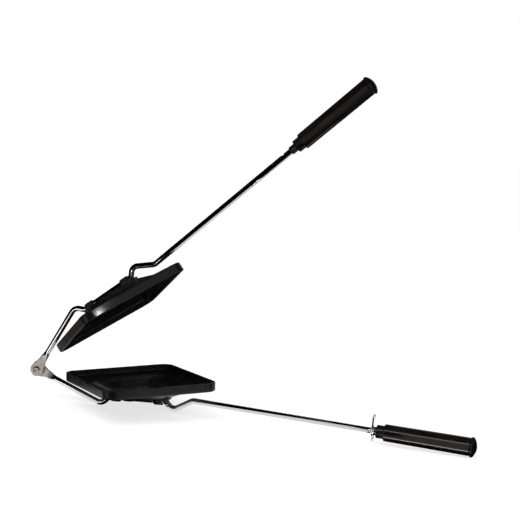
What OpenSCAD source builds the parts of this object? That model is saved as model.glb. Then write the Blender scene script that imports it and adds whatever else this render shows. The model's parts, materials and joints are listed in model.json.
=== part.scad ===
// Stovetop sandwich toaster: two square pans set corner to corner on bent wire arms,
// riveted together at one end, with a moulded grip on each arm at the other.
// All sizes are in millimetres. Each half is drawn in its own frame: the hinge axis
// lies along Y through the origin, +X runs towards the grip, and the rim faces lie
// at height 0. The upper half is the lower one mirrored and swung open.

/* [Pans] */
// Side of each square pan across its rim
pan_side = 126; // [100:1:140]
// Radius of the pan's outer corners
pan_corner_r = 12; // [6:1:24]
// Thickness of the cast wall
pan_wall = 3; // [2.4:0.1:4]
// Depth from the rim face to the flat back
pan_depth = 21; // [18:0.5:26]
// Height of the upright rim wall
rim_height = 9.5; // [7:0.5:11]
// Fall of the sloping ledge inside the rim wall
ledge_drop = 3.5; // [1.5:0.5:5]
// Side of the raised square where the ledge meets the shoulders
base_side = 84; // [72:1:92]
// Corner radius of the raised square
base_corner_r = 12; // [6:1:18]
// Side of the flat square on the back
flat_side = 50; // [44:1:60]
// Corner radius of the flat square on the back
flat_corner_r = 6; // [3:0.5:10]

/* [Lugs] */
// Length of each cast lug along the rod
lug_len = 10; // [8:0.5:12]
// Metal round the rod bore in a lug
lug_wall = 1.6; // [1.2:0.1:3]
// Half width of a lug where it meets the back
lug_foot = 6.5; // [5:0.5:8]
// Height of the cast spine that cradles the rod between the lugs
spine_h = 1.8; // [1:0.1:2.4]
// Diameter of the cross pin that locks the rod in a lug
lug_pin_d = 2.5; // [1.5:0.1:3]

/* [Rods] */
// Diameter of the steel rod
rod_d = 6; // [5:0.1:7]
// Distance from the hinge axis to the nearest corner of the pan
hinge_to_pan = 34.9; // [30:0.1:50]
// Drop of the rear bend below the rim face
arm_drop = 32.4; // [29:0.1:36]
// Distance from the rear bend to the rear lug
arm_set_back = 12; // [11.5:0.1:16]
// Centre-line radius of the rear bend
arm_bend_r = 9; // [6:0.5:10]
// Centre-line radius of the two bends beside the lugs
lug_bend_r = 6; // [4.5:0.5:7]
// Depth of the front dip below the rim face
dip_depth = 33.5; // [31:0.1:37]
// Distance from the front lug to the bottom of the dip
dip_reach = 10.5; // [10:0.1:16]
// Centre-line radius of the dip and of the bend after it
dip_bend_r = 7.5; // [4.5:0.5:8]
// Depth of the bend where the long straight rod starts
shank_depth = 21.7; // [19:0.1:24]
// Distance from the bottom of the dip to the bend where the long straight rod starts
shank_reach = 22.8; // [20:0.1:30]
// Length of the straight rod from its bend to the grip's ferrule
shank_len = 197; // [120:1:260]
// Angle at which the straight rod leaves the plane of the rim
shank_angle = 4.8; // [0:0.1:8]

/* [Hinge] */
// Angle between the two rims as the toaster stands open
open_angle = 34.9; // [10:0.1:90]
// Radius of the flattened eye
eye_r = 7.4; // [6:0.1:8]
// Thickness of the flattened eye
eye_t = 2.8; // [2:0.1:3.2]
// Distance from the hinge axis to where the rod is round again
eye_run = 24; // [20:1:30]
// Diameter of the hinge rivet
rivet_d = 5; // [4:0.1:6]
// Diameter of the rivet's heads
rivet_head_d = 7.4; // [7:0.1:9]
// Height of the rivet's heads
rivet_head_h = 1.5; // [1:0.1:2]
// Thickness of the washer between the eyes
hinge_washer_t = 0.6; // [0.4:0.1:1]

/* [Grips] */
// Length of the moulded grip body
grip_len = 87; // [70:1:110]
// Diameter of the grip next to the ferrule
grip_front_d = 17.4; // [15:0.1:20]
// Diameter of the grip next to the end cap
grip_end_d = 18.4; // [15:0.1:21]
// Length of the fluted ferrule
ferrule_len = 8; // [6:0.5:12]
// Diameter of the fluted ferrule
ferrule_d = 13.6; // [12:0.1:15]
// Number of flutes round the ferrule
flutes = 12; // [8:1:16]
// Diameter of the end cap's bead
cap_d = 20.4; // [19:0.1:23]
// Length of the end cap outside the grip
cap_len = 6.5; // [5.5:0.5:9]
// Diameter of the reduced tang that carries the nut
tang_d = 5; // [4:0.1:5]

/* [Lock hook] */
// Height of the hook above the rod that carries it
hook_rise = 16; // [15:0.5:20]
// Length of the finger tab below the rod
hook_tab = 10; // [8:0.5:14]
// Thickness of the hook plate
hook_t = 1.8; // [1.2:0.1:2.4]
// Distance from the ferrule to the notch in the upper rod
notch_back = 16; // [12:0.5:24]
// Depth of the notch in the upper rod
notch_depth = 1.1; // [0.6:0.1:1.5]

/* [Hidden] */

$fn = 64;
coating_black = [0.10, 0.10, 0.11];
bakelite_black = [0.06, 0.05, 0.05];
chrome = [0.78, 0.78, 0.80];
steel = [0.62, 0.61, 0.60];

// Clearances
rim_gap = 0.2;        // each rim stays this far from the closing plane
fit = 0.05;           // radial clearance of a pin or rod in its hole
side_gap = 0.3;       // gap between faces that turn past each other
rod_to_back = 0.3;    // gap between the rod and the pan's flat back
skin = 0.2;           // thickness of the slabs at the ends of a sloping tier
cut = 1;              // how far a cutter runs past the face that it opens
big = 60;             // side of the blocks that trim a dome

// Facets of the swept rod
rod_sides = 24;       // sides of the rod's section
bend_step = 8;        // largest turn between two rings of a bend
eye_step = 7.5;       // turn between two corners of the round eye's outline

// Pan
rod_r = rod_d / 2;
diag = sqrt(2);
tip_trim = diag - 1;
pan_tip = pan_side / diag - tip_trim * pan_corner_r;
pan_x = hinge_to_pan + pan_tip;
base_depth = rim_height + ledge_drop;
flat_tip = flat_side / diag - tip_trim * flat_corner_r;

// Lugs stand just inside the corners of the flat back
run_depth = pan_depth + rod_to_back + rod_r;
lug_r = rod_r + fit + lug_wall;
lug_inset = 1.2;
lug_front_inset = 5.9;
lug_sink = 0.7;
lug_height = run_depth - pan_depth + lug_sink;
rear_lug_x = pan_x - flat_tip + lug_inset;
front_lug_x = pan_x + flat_tip - lug_front_inset;
lug_xs = [rear_lug_x + lug_len / 2, front_lug_x - lug_len / 2];
spine_overrun = 1.8;
spine_sink = 1.3;
spine_half_len = flat_tip + spine_overrun;

// Corners of the rod's centre line, from the hinge to the grip, as distance and height
run_start_x = rear_lug_x - lug_bend_r / 2;
run_end_x = front_lug_x + lug_bend_r / 2;
arm_bend = [rear_lug_x - arm_set_back, -arm_drop];
dip = [front_lug_x + dip_reach, -dip_depth];
shank_start = [dip.x + shank_reach, -shank_depth];
shank_dir = [cos(shank_angle), -sin(shank_angle)];
neck = shank_start + shank_len * shank_dir;
counterbore_depth = 14;
tang_nut_run = 8;
rod_end = neck + (ferrule_len + grip_len - counterbore_depth) * shank_dir;
arm_angle = atan2(arm_bend.y, arm_bend.x);
rod_path = [
    eye_run * [cos(arm_angle), sin(arm_angle)],
    arm_bend,
    [run_start_x, -run_depth],
    [run_end_x, -run_depth],
    dip,
    shank_start,
    rod_end
];
rod_bends = [0, arm_bend_r, lug_bend_r, lug_bend_r, dip_bend_r, dip_bend_r, 0];

// Hinge stack along Y
lower_eye_y = hinge_washer_t / 2;
upper_eye_y = -hinge_washer_t / 2 - side_gap - eye_t;
front_head_y = upper_eye_y - side_gap;
rear_head_y = lower_eye_y + eye_t;
rivet_dimple_d = 2.8;
rivet_dimple_h = 1.2;
hinge_washer_inset = 0.8;
eye_web_start = 3.8;
eye_web_inset = 1.4;
eye_web_r = eye_r - eye_web_inset;
eye_waist_flare = 1.2;
eye_waist_r = rod_r + eye_waist_flare;
eye_flat_run = eye_run / 2;
eye_edge_power = 0.4;
eye_rings = 5;
eye_trim = 0.3;
eye_square = eye_r - eye_trim;
eye_corner_reach = 1.6;
eye_corner_r = eye_r + eye_corner_reach;

// Grip parts, measured along the rod from the ferrule's face
upper_collar_len = 7;
lower_collar_len = 2.4;
collar_wall = 1.3;
collar_r = rod_r + collar_wall;
hook_back = lower_collar_len + side_gap + hook_t;
bead_len = 1.2;
bead_rise = 0.9;
bead_r = rod_r + bead_rise;
ferrule_edge = 0.8;
flute_r = 0.8;
grip_edge = 0.8;
counterbore_r = 6.2;
nut_flats = 8;
nut_h = 4;
washer_t = 1;
washer_play = 0.2;
washer_r = counterbore_r - washer_play;
cap_plug_len = 4.5;
cap_round = 2.2;
cap_edge = 1.4;
cap_dome_r = 15;
cap_front = ferrule_len + grip_len;
cap_round_at = cap_front + cap_len - cap_round - cap_edge;
cap_dome_centre = cap_front + cap_len - cap_dome_r;

// Lock hook outline
hook_hub_wall = 2.6;
hook_hub_r = rod_r + hook_hub_wall;
hook_bar = 2.6;
hook_lip = 1.2;
hook_round = 1.2;
hook_arm_w = 2.4;
hook_overreach = 2.4;
hook_tip_y = rod_r + hook_overreach;
hook_tab_r = 2.4;
notch_len = 3.4;

// The toaster rests on the rear bend and on the lower end cap, which sets its tilt
path_dirs = [for (i = [0:len(rod_path) - 2]) angle_of(rod_path[i + 1] - rod_path[i])];
bend_start = arm_bend - arm_bend_r * tan((path_dirs[1] - path_dirs[0]) / 2) * dir(path_dirs[0]);
bend_centre = bend_start + arm_bend_r * dir(path_dirs[0] + 90);
bend_reach = arm_bend_r + rod_r;
cap_low = neck + cap_round_at * shank_dir + (cap_d / 2 - cap_round) * dir(-90 - shank_angle);
rest_line = cap_low - bend_centre;
rest_tilt = atan2(-rest_line.y, rest_line.x) - asin((bend_reach - cap_round) / norm(rest_line));
ground_normal = [-sin(rest_tilt), -cos(rest_tilt)];
hinge_z = bend_centre * ground_normal + bend_reach;

// The origin lies under the middle of the toaster's length
eye_corner = [-eye_square, -sqrt(eye_corner_r * eye_corner_r - eye_square * eye_square)];
eye_turn = arm_angle + rest_tilt;
x_left = eye_corner.x * cos(eye_turn) - eye_corner.y * sin(eye_turn);
cap_dome = neck + cap_dome_centre * shank_dir;
x_right = cap_dome.x * cos(rest_tilt) - cap_dome.y * sin(rest_tilt) + cap_dome_r;
hinge_x = -(x_left + x_right) / 2;

function dir(a) = [cos(a), sin(a)];
function angle_of(v) = atan2(v.y, v.x);

// Placing: the lower half, the upper half, and a point on the rod's straight end
module lower_half() {
    translate([hinge_x, 0, hinge_z])
        rotate([0, -rest_tilt, 0])
            children();
}

module upper_half() {
    translate([hinge_x, 0, hinge_z])
        rotate([0, -rest_tilt - open_angle, 0])
            mirror([0, 0, 1])
                children();
}

module along_grip(distance) {
    point = neck + distance * shank_dir;
    translate([point.x, 0, point.y])
        rotate([0, 90 + shank_angle, 0])
            children();
}

// A square with rounded corners, centred on the origin
module rounded_square(side, r) {
    inner = side - 2 * r;
    square([side, inner], center = true);
    square([inner, side], center = true);
    for (x = [-1, 1], y = [-1, 1])
        translate([x * inner / 2, y * inner / 2])
            circle(r);
}

// A tier of the pan that slopes from one rounded square to another
module sloping_tier(top_side, top_r, top_z, low_side, low_r, low_z) {
    hull() {
        translate([0, 0, top_z - skin])
            linear_extrude(skin)
                rounded_square(top_side, top_r, $fn = 40);
        translate([0, 0, low_z])
            linear_extrude(skin)
                rounded_square(low_side, low_r, $fn = 40);
    }
}

// The stepped bowl: upright rim, sloping ledge, shoulders and flat bottom
module stepped_bowl(side, corner_r, lift, top) {
    translate([0, 0, -rim_height + lift])
        linear_extrude(rim_height - lift + top)
            rounded_square(side, corner_r);
    sloping_tier(side, corner_r, -rim_height + lift, base_side, base_corner_r, -base_depth + lift);
    sloping_tier(
        base_side, base_corner_r, -base_depth + lift,
        flat_side, flat_corner_r, -pan_depth + lift
    );
}

// Cross-section of a lug: the ring round the rod and the flanks that run to the pan
module lug_section() {
    foot_distance = norm([lug_foot, lug_height]);
    tangent_angle = atan2(lug_height, lug_foot) - acos(lug_r / foot_distance);
    touch = lug_r * dir(tangent_angle);
    circle(lug_r);
    polygon([[lug_foot, lug_height], touch, [-touch.x, touch.y], [-lug_foot, lug_height]]);
}

module lug(x) {
    translate([x - lug_len / 2, 0, -run_depth])
        rotate([90, 0, 90])
            linear_extrude(lug_len)
                lug_section();
}

// The low spine along the middle of the back, past both corners of the flat square
module spine() {
    translate([pan_x - spine_half_len, -lug_foot, -pan_depth - spine_h])
        cube([2 * spine_half_len, 2 * lug_foot, spine_h + spine_sink]);
}

module pan() {
    color(coating_black)
        difference() {
            union() {
                translate([pan_x, 0, 0])
                    rotate(45)
                        stepped_bowl(pan_side, pan_corner_r, 0, -rim_gap);
                spine();
                for (x = lug_xs)
                    lug(x);
            }
            translate([pan_x, 0, 0])
                rotate(45)
                    stepped_bowl(pan_side - 2 * pan_wall, pan_corner_r - pan_wall, pan_wall, cut);
            translate([pan_x - spine_half_len - cut, 0, -run_depth])
                rotate([0, 90, 0])
                    cylinder(h = 2 * (spine_half_len + cut), r = rod_r + fit);
            for (x = lug_xs)
                translate([x, 0, -run_depth])
                    rotate([90, 0, 0])
                        cylinder(h = 2 * big, d = lug_pin_d + 2 * fit, center = true);
        }
}

// Stations along a bend at a corner, each a point and a direction
function bend_stations(corner, a, b, r) =
    let (
        turn = b - a,
        side = turn > 0 ? 1 : -1,
        start = corner - r * tan(abs(turn) / 2) * dir(a),
        centre = start + side * r * dir(a + 90),
        steps = ceil(abs(turn) / bend_step)
    )
    [for (k = [0:steps])
        let (t = a + turn * k / steps)
        [centre - side * r * dir(t + 90), t]];

// Share of the change from flat to round at a distance from the hinge
function roundness(distance) =
    let (u = max(0, min(1, (distance - eye_flat_run) / (eye_run - eye_flat_run))))
    u * u * (3 - 2 * u);

function blend(a, b, share) = a + (b - a) * share;
function signed_power(value, power) = sign(value) * pow(abs(value), power);

// One ring of the flattened stretch, which widens towards the eye
function flat_ring(distance, eye_y) =
    let (
        share = roundness(distance),
        widening = max(0, 1 - (distance - eye_web_start) / (eye_flat_run - eye_web_start)),
        half_w = blend(blend(eye_waist_r, eye_web_r, widening), rod_r, share),
        half_t = blend(eye_t / 2 - fit, rod_r, share),
        mid_y = blend(eye_y + eye_t / 2, 0, share),
        power = blend(eye_edge_power, 1, share),
        axis = dir(arm_angle),
        side = dir(arm_angle + 90)
    )
    [for (j = [0:rod_sides - 1])
        let (
            t = 360 * j / rod_sides,
            q = distance * axis + half_w * signed_power(cos(t), power) * side
        )
        [q.x, mid_y + half_t * signed_power(sin(t), power), q.y]];

// One ring of the round rod
function round_ring(station) =
    [for (j = [0:rod_sides - 1])
        let (
            t = 360 * j / rod_sides,
            q = station[0] + rod_r * cos(t) * dir(station[1] + 90)
        )
        [q.x, rod_r * sin(t), q.y]];

// The bent rod from inside the eye to the grip's counterbore, swept along its centre line
module bent_rod(eye_y) {
    last = len(rod_path) - 1;
    flat_distances = [
        eye_web_start,
        (eye_web_start + eye_flat_run) / 2,
        for (k = [0:eye_rings - 1]) eye_flat_run + (eye_run - eye_flat_run) * k / eye_rings
    ];
    stations = [
        [rod_path[0], path_dirs[0]],
        for (i = [1:last - 1])
            each bend_stations(rod_path[i], path_dirs[i - 1], path_dirs[i], rod_bends[i]),
        [rod_path[last], path_dirs[last - 1]]
    ];
    rings = [
        for (distance = flat_distances) flat_ring(distance, eye_y),
        for (station = stations) round_ring(station)
    ];
    count = len(rings);
    polyhedron(
        points = [for (ring = rings) each ring],
        faces = [
            [for (j = [0:rod_sides - 1]) rod_sides - 1 - j],
            for (i = [0:count - 2], j = [0:rod_sides - 1])
                let (a = i * rod_sides, k = (j + 1) % rod_sides)
                each [[a + j, a + k, a + rod_sides + k], [a + j, a + rod_sides + k, a + rod_sides + j]],
            [for (j = [0:rod_sides - 1]) (count - 1) * rod_sides + j]
        ]
    );
}

// The eye at the rod's flattened end, round or cut square, before it is bored
module eye_plate(eye_y, square_end) {
    translate([0, eye_y + eye_t, 0])
        rotate([90, -arm_angle, 0])
            if (square_end) {
                intersection() {
                    cylinder(h = eye_t, r = eye_corner_r);
                    translate([-eye_square, -eye_square, 0])
                        cube([2 * eye_square, 2 * eye_square, eye_t]);
                }
            } else {
                linear_extrude(eye_t)
                    polygon([for (a = [0:eye_step:360 - eye_step]) eye_r * dir(a)]);
            }
}

module rod(eye_y, square_end) {
    color(chrome)
        difference() {
            union() {
                eye_plate(eye_y, square_end);
                bent_rod(eye_y);
                along_grip(ferrule_len + grip_len - counterbore_depth - cut)
                    cylinder(h = tang_nut_run + cut, d = tang_d);
                if (square_end)
                    along_grip(-hook_back - side_gap - bead_len)
                        cylinder(h = bead_len, r = bead_r);
            }
            rotate([90, 0, 0])
                cylinder(h = big, d = rivet_d + 2 * fit, center = true);
            for (x = lug_xs)
                translate([x, 0, -run_depth])
                    rotate([90, 0, 0])
                        cylinder(h = big, d = lug_pin_d + 2 * fit, center = true);
            if (!square_end)
                along_grip(-notch_back - notch_len / 2)
                    translate([rod_r - notch_depth, -rod_r - cut, 0])
                        cube([notch_depth + cut, rod_d + 2 * cut, notch_len]);
        }
}

module lug_pins() {
    color(steel)
        for (x = lug_xs)
            translate([x, 0, -run_depth])
                rotate([90, 0, 0])
                    cylinder(h = 2 * lug_r, d = lug_pin_d, center = true);
}

module collar(length) {
    color(steel)
        along_grip(-length)
            difference() {
                cylinder(h = length, r = collar_r);
                translate([0, 0, -cut])
                    cylinder(h = length + 2 * cut, r = rod_r + fit);
            }
}

module ferrule() {
    color(bakelite_black)
        along_grip(0)
            difference() {
                union() {
                    cylinder(h = ferrule_edge, d1 = ferrule_d - 2 * ferrule_edge, d2 = ferrule_d);
                    translate([0, 0, ferrule_edge])
                        cylinder(h = ferrule_len - ferrule_edge, d = ferrule_d);
                }
                translate([0, 0, -cut])
                    cylinder(h = ferrule_len + 2 * cut, r = rod_r + fit);
                for (i = [0:flutes - 1])
                    rotate([0, 0, (i + 0.5) * 360 / flutes])
                        translate([ferrule_d / 2, 0, -cut])
                            cylinder(h = ferrule_len + 2 * cut, r = flute_r, $fn = 24);
            }
}

module grip() {
    color(bakelite_black)
        along_grip(ferrule_len)
            difference() {
                union() {
                    cylinder(h = grip_edge, d1 = grip_front_d - 2 * grip_edge, d2 = grip_front_d);
                    translate([0, 0, grip_edge])
                        cylinder(h = grip_len - grip_edge, d1 = grip_front_d, d2 = grip_end_d);
                }
                translate([0, 0, -cut])
                    cylinder(h = grip_len + 2 * cut, r = rod_r + fit);
                translate([0, 0, grip_len - counterbore_depth])
                    cylinder(h = counterbore_depth + cut, r = counterbore_r);
            }
}

module tang_washer() {
    color(steel)
        along_grip(ferrule_len + grip_len - counterbore_depth)
            difference() {
                cylinder(h = washer_t, r = washer_r);
                translate([0, 0, -cut])
                    cylinder(h = washer_t + 2 * cut, d = tang_d + 2 * fit);
            }
}

module tang_nut() {
    color(steel)
        along_grip(ferrule_len + grip_len - counterbore_depth + washer_t)
            difference() {
                cylinder(h = nut_h, d = nut_flats / cos(30), $fn = 6);
                translate([0, 0, -cut])
                    cylinder(h = nut_h + 2 * cut, d = tang_d + 2 * fit);
            }
}

// Profile of the cap's bead: a straight band with a rounded rim
module cap_profile() {
    band = cap_round_at - cap_front;
    square([cap_d / 2 - cap_round, cap_len]);
    square([cap_d / 2, band]);
    translate([cap_d / 2 - cap_round, band])
        circle(cap_round);
}

module end_cap() {
    color(bakelite_black)
        along_grip(cap_front) {
            translate([0, 0, -cap_plug_len])
                cylinder(h = cap_plug_len + cut, r = counterbore_r - fit);
            intersection() {
                rotate_extrude()
                    intersection() {
                        cap_profile();
                        square([cap_d, cap_len]);
                    }
                translate([0, 0, cap_len - cap_dome_r])
                    sphere(cap_dome_r, $fn = 96);
            }
        }
}

module hinge_rivet() {
    color(steel)
        difference() {
            union() {
                translate([0, rear_head_y, 0])
                    rotate([90, 0, 0])
                        cylinder(h = rear_head_y - front_head_y, d = rivet_d);
                translate([0, front_head_y, 0])
                    rotate([90, 0, 0])
                        cylinder(h = rivet_head_h, d1 = rivet_head_d, d2 = rivet_head_d - rivet_head_h);
                translate([0, rear_head_y, 0])
                    rotate([-90, 0, 0])
                        cylinder(h = rivet_head_h, d1 = rivet_head_d, d2 = rivet_head_d - rivet_head_h);
            }
            translate([0, front_head_y - rivet_head_h + rivet_dimple_h, 0])
                rotate([90, 0, 0])
                    cylinder(h = rivet_dimple_h + cut, d = rivet_dimple_d);
        }
}

module hinge_washer() {
    color(steel)
        rotate([90, 0, 0])
            difference() {
                cylinder(h = hinge_washer_t, r = eye_r - hinge_washer_inset, center = true);
                cylinder(h = hinge_washer_t + 2 * cut, d = rivet_d + 2 * fit, center = true);
            }
}

// Outline of the hook, with +X up from the rod that carries it and the mouth on +Y
module hook_outline() {
    arm_y = -hook_hub_r;
    bar_top = hook_rise - hook_round;
    bar_low = hook_rise - hook_bar;
    circle(hook_hub_r);
    translate([-hook_tab + hook_tab_r, -hook_tab_r])
        square([hook_tab - hook_tab_r, 2 * hook_tab_r]);
    translate([-hook_tab + hook_tab_r, 0])
        circle(hook_tab_r);
    translate([0, arm_y])
        square([bar_top, hook_arm_w]);
    translate([bar_low, arm_y + hook_round])
        square([hook_bar, hook_tip_y - arm_y - 2 * hook_round]);
    translate([bar_low, arm_y])
        square([hook_bar - hook_round, hook_tip_y - arm_y]);
    for (y = [arm_y + hook_round, hook_tip_y - hook_round])
        translate([bar_top, y])
            circle(hook_round);
    translate([bar_low - hook_lip, hook_tip_y - hook_arm_w / 2])
        square([hook_lip + hook_round, hook_arm_w / 2]);
}

module lock_hook() {
    color(chrome)
        along_grip(-hook_back)
            difference() {
                mirror([1, 0, 0])
                    linear_extrude(hook_t)
                        hook_outline();
                translate([0, 0, -cut])
                    cylinder(h = hook_t + 2 * cut, r = rod_r + fit);
            }
}

lower_half() pan();  // lower_pan
lower_half() rod(lower_eye_y, true);  // lower_rod
lower_half() lug_pins();  // lower_lug_pins
lower_half() collar(lower_collar_len);  // lower_collar
lower_half() ferrule();  // lower_ferrule
lower_half() grip();  // lower_grip
lower_half() tang_washer();  // lower_tang_washer
lower_half() tang_nut();  // lower_tang_nut
lower_half() end_cap();  // lower_end_cap
upper_half() pan();  // upper_pan
upper_half() rod(upper_eye_y, false);  // upper_rod
upper_half() lug_pins();  // upper_lug_pins
upper_half() collar(upper_collar_len);  // upper_collar
upper_half() ferrule();  // upper_ferrule
upper_half() grip();  // upper_grip
upper_half() tang_washer();  // upper_tang_washer
upper_half() tang_nut();  // upper_tang_nut
upper_half() end_cap();  // upper_end_cap
lower_half() hinge_rivet();
lower_half() hinge_washer();
lower_half() lock_hook();
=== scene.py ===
"""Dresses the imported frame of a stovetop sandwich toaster.

Two square non-stick pans stand corner to corner on bent chromed rods. The rods are
riveted together at one end and carry moulded grips at the other, and a small hook on
the lower rod locks the closed grips. Everything is in metres and radians, in the frame
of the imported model. The pieces of a half are built in the half's own frame, where the
hinge axis lies along Y through the origin, +X runs towards the grip and the rim lies at
height 0, and they are then laid in place.
"""

import json
import logging
import math
from collections.abc import Callable, Iterable, Mapping, Sequence
from dataclasses import dataclass, field
from enum import Enum
from typing import Any

import bmesh
import bpy
from bmesh.types import BMEdge, BMFace, BMVert
from mathutils import Matrix, Vector


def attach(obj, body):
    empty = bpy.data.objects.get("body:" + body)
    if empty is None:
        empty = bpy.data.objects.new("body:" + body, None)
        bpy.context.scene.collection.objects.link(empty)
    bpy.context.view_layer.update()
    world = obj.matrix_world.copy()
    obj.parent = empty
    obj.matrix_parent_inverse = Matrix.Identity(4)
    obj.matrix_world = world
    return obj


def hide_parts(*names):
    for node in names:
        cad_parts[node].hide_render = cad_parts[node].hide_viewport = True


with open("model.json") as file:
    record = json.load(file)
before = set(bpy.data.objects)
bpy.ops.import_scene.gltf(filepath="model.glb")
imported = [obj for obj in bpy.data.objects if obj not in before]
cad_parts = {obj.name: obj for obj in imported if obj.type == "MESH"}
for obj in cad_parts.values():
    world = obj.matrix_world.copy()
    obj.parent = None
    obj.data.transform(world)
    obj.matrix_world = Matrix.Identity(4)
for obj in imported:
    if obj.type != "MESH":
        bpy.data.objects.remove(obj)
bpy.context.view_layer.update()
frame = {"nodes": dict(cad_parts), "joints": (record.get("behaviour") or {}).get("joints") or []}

log = logging.getLogger("sandwich_toaster")

RUB = "rub"
LOCAL = "local_place"
AXIS_X = Vector((1.0, 0.0, 0.0))
AXIS_Y = Vector((0.0, 1.0, 0.0))
AXIS_Z = Vector((0.0, 0.0, 1.0))
WELD = 2e-7

Colour = tuple[float, float, float]


class Half(Enum):
    """The two halves of the toaster."""

    LOWER = "lower"
    UPPER = "upper"

    @property
    def body(self) -> str:
        """Name of the CAD body that the half moves with."""
        return f"{self.value}_half"


class Slot(Enum):
    """The record's material slots."""

    COATING = "non_stick_coating"
    CHROME = "chromed_rod"
    STEEL = "bright_steel"
    PHENOLIC = "black_phenolic"


class Cut(Enum):
    """Ways to combine two workpieces."""

    WELD_ON = "UNION"
    TAKE_AWAY = "DIFFERENCE"


class Facing(Enum):
    """Ways in which a flat card of the studio can face."""

    FRONT = "front"
    SIDE = "side"
    UP = "up"

    @property
    def turn(self) -> Matrix:
        """The turn of a card that lies in the plane Z = 0."""
        upright = Matrix.Rotation(math.pi / 2, 4, "X")
        turns = {
            Facing.FRONT: upright,
            Facing.SIDE: Matrix.Rotation(math.pi / 2, 4, "Z") @ upright,
            Facing.UP: Matrix.Identity(4),
        }
        return turns[self]


@dataclass(frozen=True)
class Layout:
    """The driving sizes that the pieces of one half share.

    A rounded square stands on a corner, so its reach is the distance from its centre to
    the tip of that rounded corner.
    """

    rod_radius: float = 0.003
    fit: float = 0.00005
    pan_side: float = 0.126
    corner_radius: float = 0.012
    hinge_to_pan: float = 0.0349
    flat_side: float = 0.050
    flat_corner_radius: float = 0.006
    pan_depth: float = 0.021
    rod_gap: float = 0.0003
    lug_length: float = 0.010
    rear_lug_inset: float = 0.0012
    front_lug_inset: float = 0.0059
    pin_radius: float = 0.00125
    shank_angle: float = math.radians(4.8)
    shank_length: float = 0.197
    arm_drop: float = 0.0324
    arm_set_back: float = 0.012
    arm_bend_radius: float = 0.009
    lug_bend_radius: float = 0.006
    dip_bend_radius: float = 0.0075
    dip_depth: float = 0.0335
    dip_reach: float = 0.0105
    shank_depth: float = 0.0217
    shank_reach: float = 0.0228

    @staticmethod
    def reach(side: float, corner_radius: float) -> float:
        """Distance from the centre of a rounded square to its rounded tip.

        Args:
            side: Side of the square.
            corner_radius: Radius of its corners.

        Returns:
            The reach of the tip.
        """
        return side / math.sqrt(2) - (math.sqrt(2) - 1) * corner_radius

    @property
    def pan_x(self) -> float:
        """Distance from the hinge to the middle of the pan."""
        return self.hinge_to_pan + self.reach(self.pan_side, self.corner_radius)

    @property
    def flat_reach(self) -> float:
        """Reach of the flat square on the pan's back."""
        return self.reach(self.flat_side, self.flat_corner_radius)

    @property
    def run_depth(self) -> float:
        """Depth of the rod's centre line where it runs under the pan."""
        return self.pan_depth + self.rod_gap + self.rod_radius

    @property
    def lug_ends(self) -> tuple[float, float]:
        """Outer ends of the rear and the front lug."""
        rear = self.pan_x - self.flat_reach + self.rear_lug_inset
        front = self.pan_x + self.flat_reach - self.front_lug_inset
        return rear, front

    @property
    def lug_middles(self) -> tuple[float, float]:
        """Middles of the rear and the front lug."""
        rear, front = self.lug_ends
        return rear + self.lug_length / 2, front - self.lug_length / 2

    @property
    def shank_direction(self) -> Vector:
        """Direction of the straight rod that carries the grip."""
        return Vector((math.cos(self.shank_angle), 0.0, -math.sin(self.shank_angle)))

    @property
    def corners(self) -> list[Vector]:
        """Corners of the rod's centre line, from the rear bend to the start of the shank."""
        rear, front = self.lug_ends
        half_bend = self.lug_bend_radius / 2
        dip_x = front + self.dip_reach
        return [
            Vector((rear - self.arm_set_back, 0.0, -self.arm_drop)),
            Vector((rear - half_bend, 0.0, -self.run_depth)),
            Vector((front + half_bend, 0.0, -self.run_depth)),
            Vector((dip_x, 0.0, -self.dip_depth)),
            Vector((dip_x + self.shank_reach, 0.0, -self.shank_depth)),
        ]

    @property
    def neck(self) -> Vector:
        """Point on the shank where the ferrule begins."""
        return self.corners[-1] + self.shank_length * self.shank_direction

    def on_shank(self, distance: float) -> Matrix:
        """Frame on the shank, with Z along the rod and X away from the other half.

        Args:
            distance: Distance from the ferrule's front face towards the end cap.

        Returns:
            The matrix from that frame to the half's frame.
        """
        point = self.neck + distance * self.shank_direction
        return Matrix.Translation(point) @ Matrix.Rotation(math.pi / 2 + self.shank_angle, 4, "Y")


@dataclass(frozen=True)
class Placing:
    """Where the two halves lie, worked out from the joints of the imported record."""

    hinge: Vector
    tilt: float
    opening: float

    @classmethod
    def read(cls, joints: Iterable[Mapping[str, Any]], layout: Layout) -> "Placing":
        """Reads the place of the halves from the joints.

        Args:
            joints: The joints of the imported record.
            layout: The driving sizes.

        Returns:
            The place of the halves at rest.
        """
        named = {joint["name"]: joint for joint in joints}
        hinge = named["main_hinge"]
        rod = Vector(named["lock_hook_swing"]["axis"])
        return cls(
            hinge=Vector(hinge["pos_m"]),
            tilt=layout.shank_angle - math.atan2(-rod.z, rod.x),
            opening=math.radians(-hinge["range_deg"][0]),
        )

    def of(self, half: Half) -> Matrix:
        """Place of a half.

        Args:
            half: The half to place.

        Returns:
            The matrix from the half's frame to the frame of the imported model.
        """
        if half is Half.LOWER:
            return Matrix.Translation(self.hinge) @ Matrix.Rotation(-self.tilt, 4, "Y")
        swung = Matrix.Rotation(-self.tilt - self.opening, 4, "Y")
        return Matrix.Translation(self.hinge) @ swung @ Matrix.Scale(-1, 4, AXIS_Z)


@dataclass(frozen=True)
class Corner:
    """One corner of a turned profile or of a plate's outline.

    On a turned profile the first value is the distance from the axis and the second the
    height. On a plate they are its two coordinates.
    """

    first: float
    second: float
    rounding: float = 0.0
    rub: float = 0.0


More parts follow.
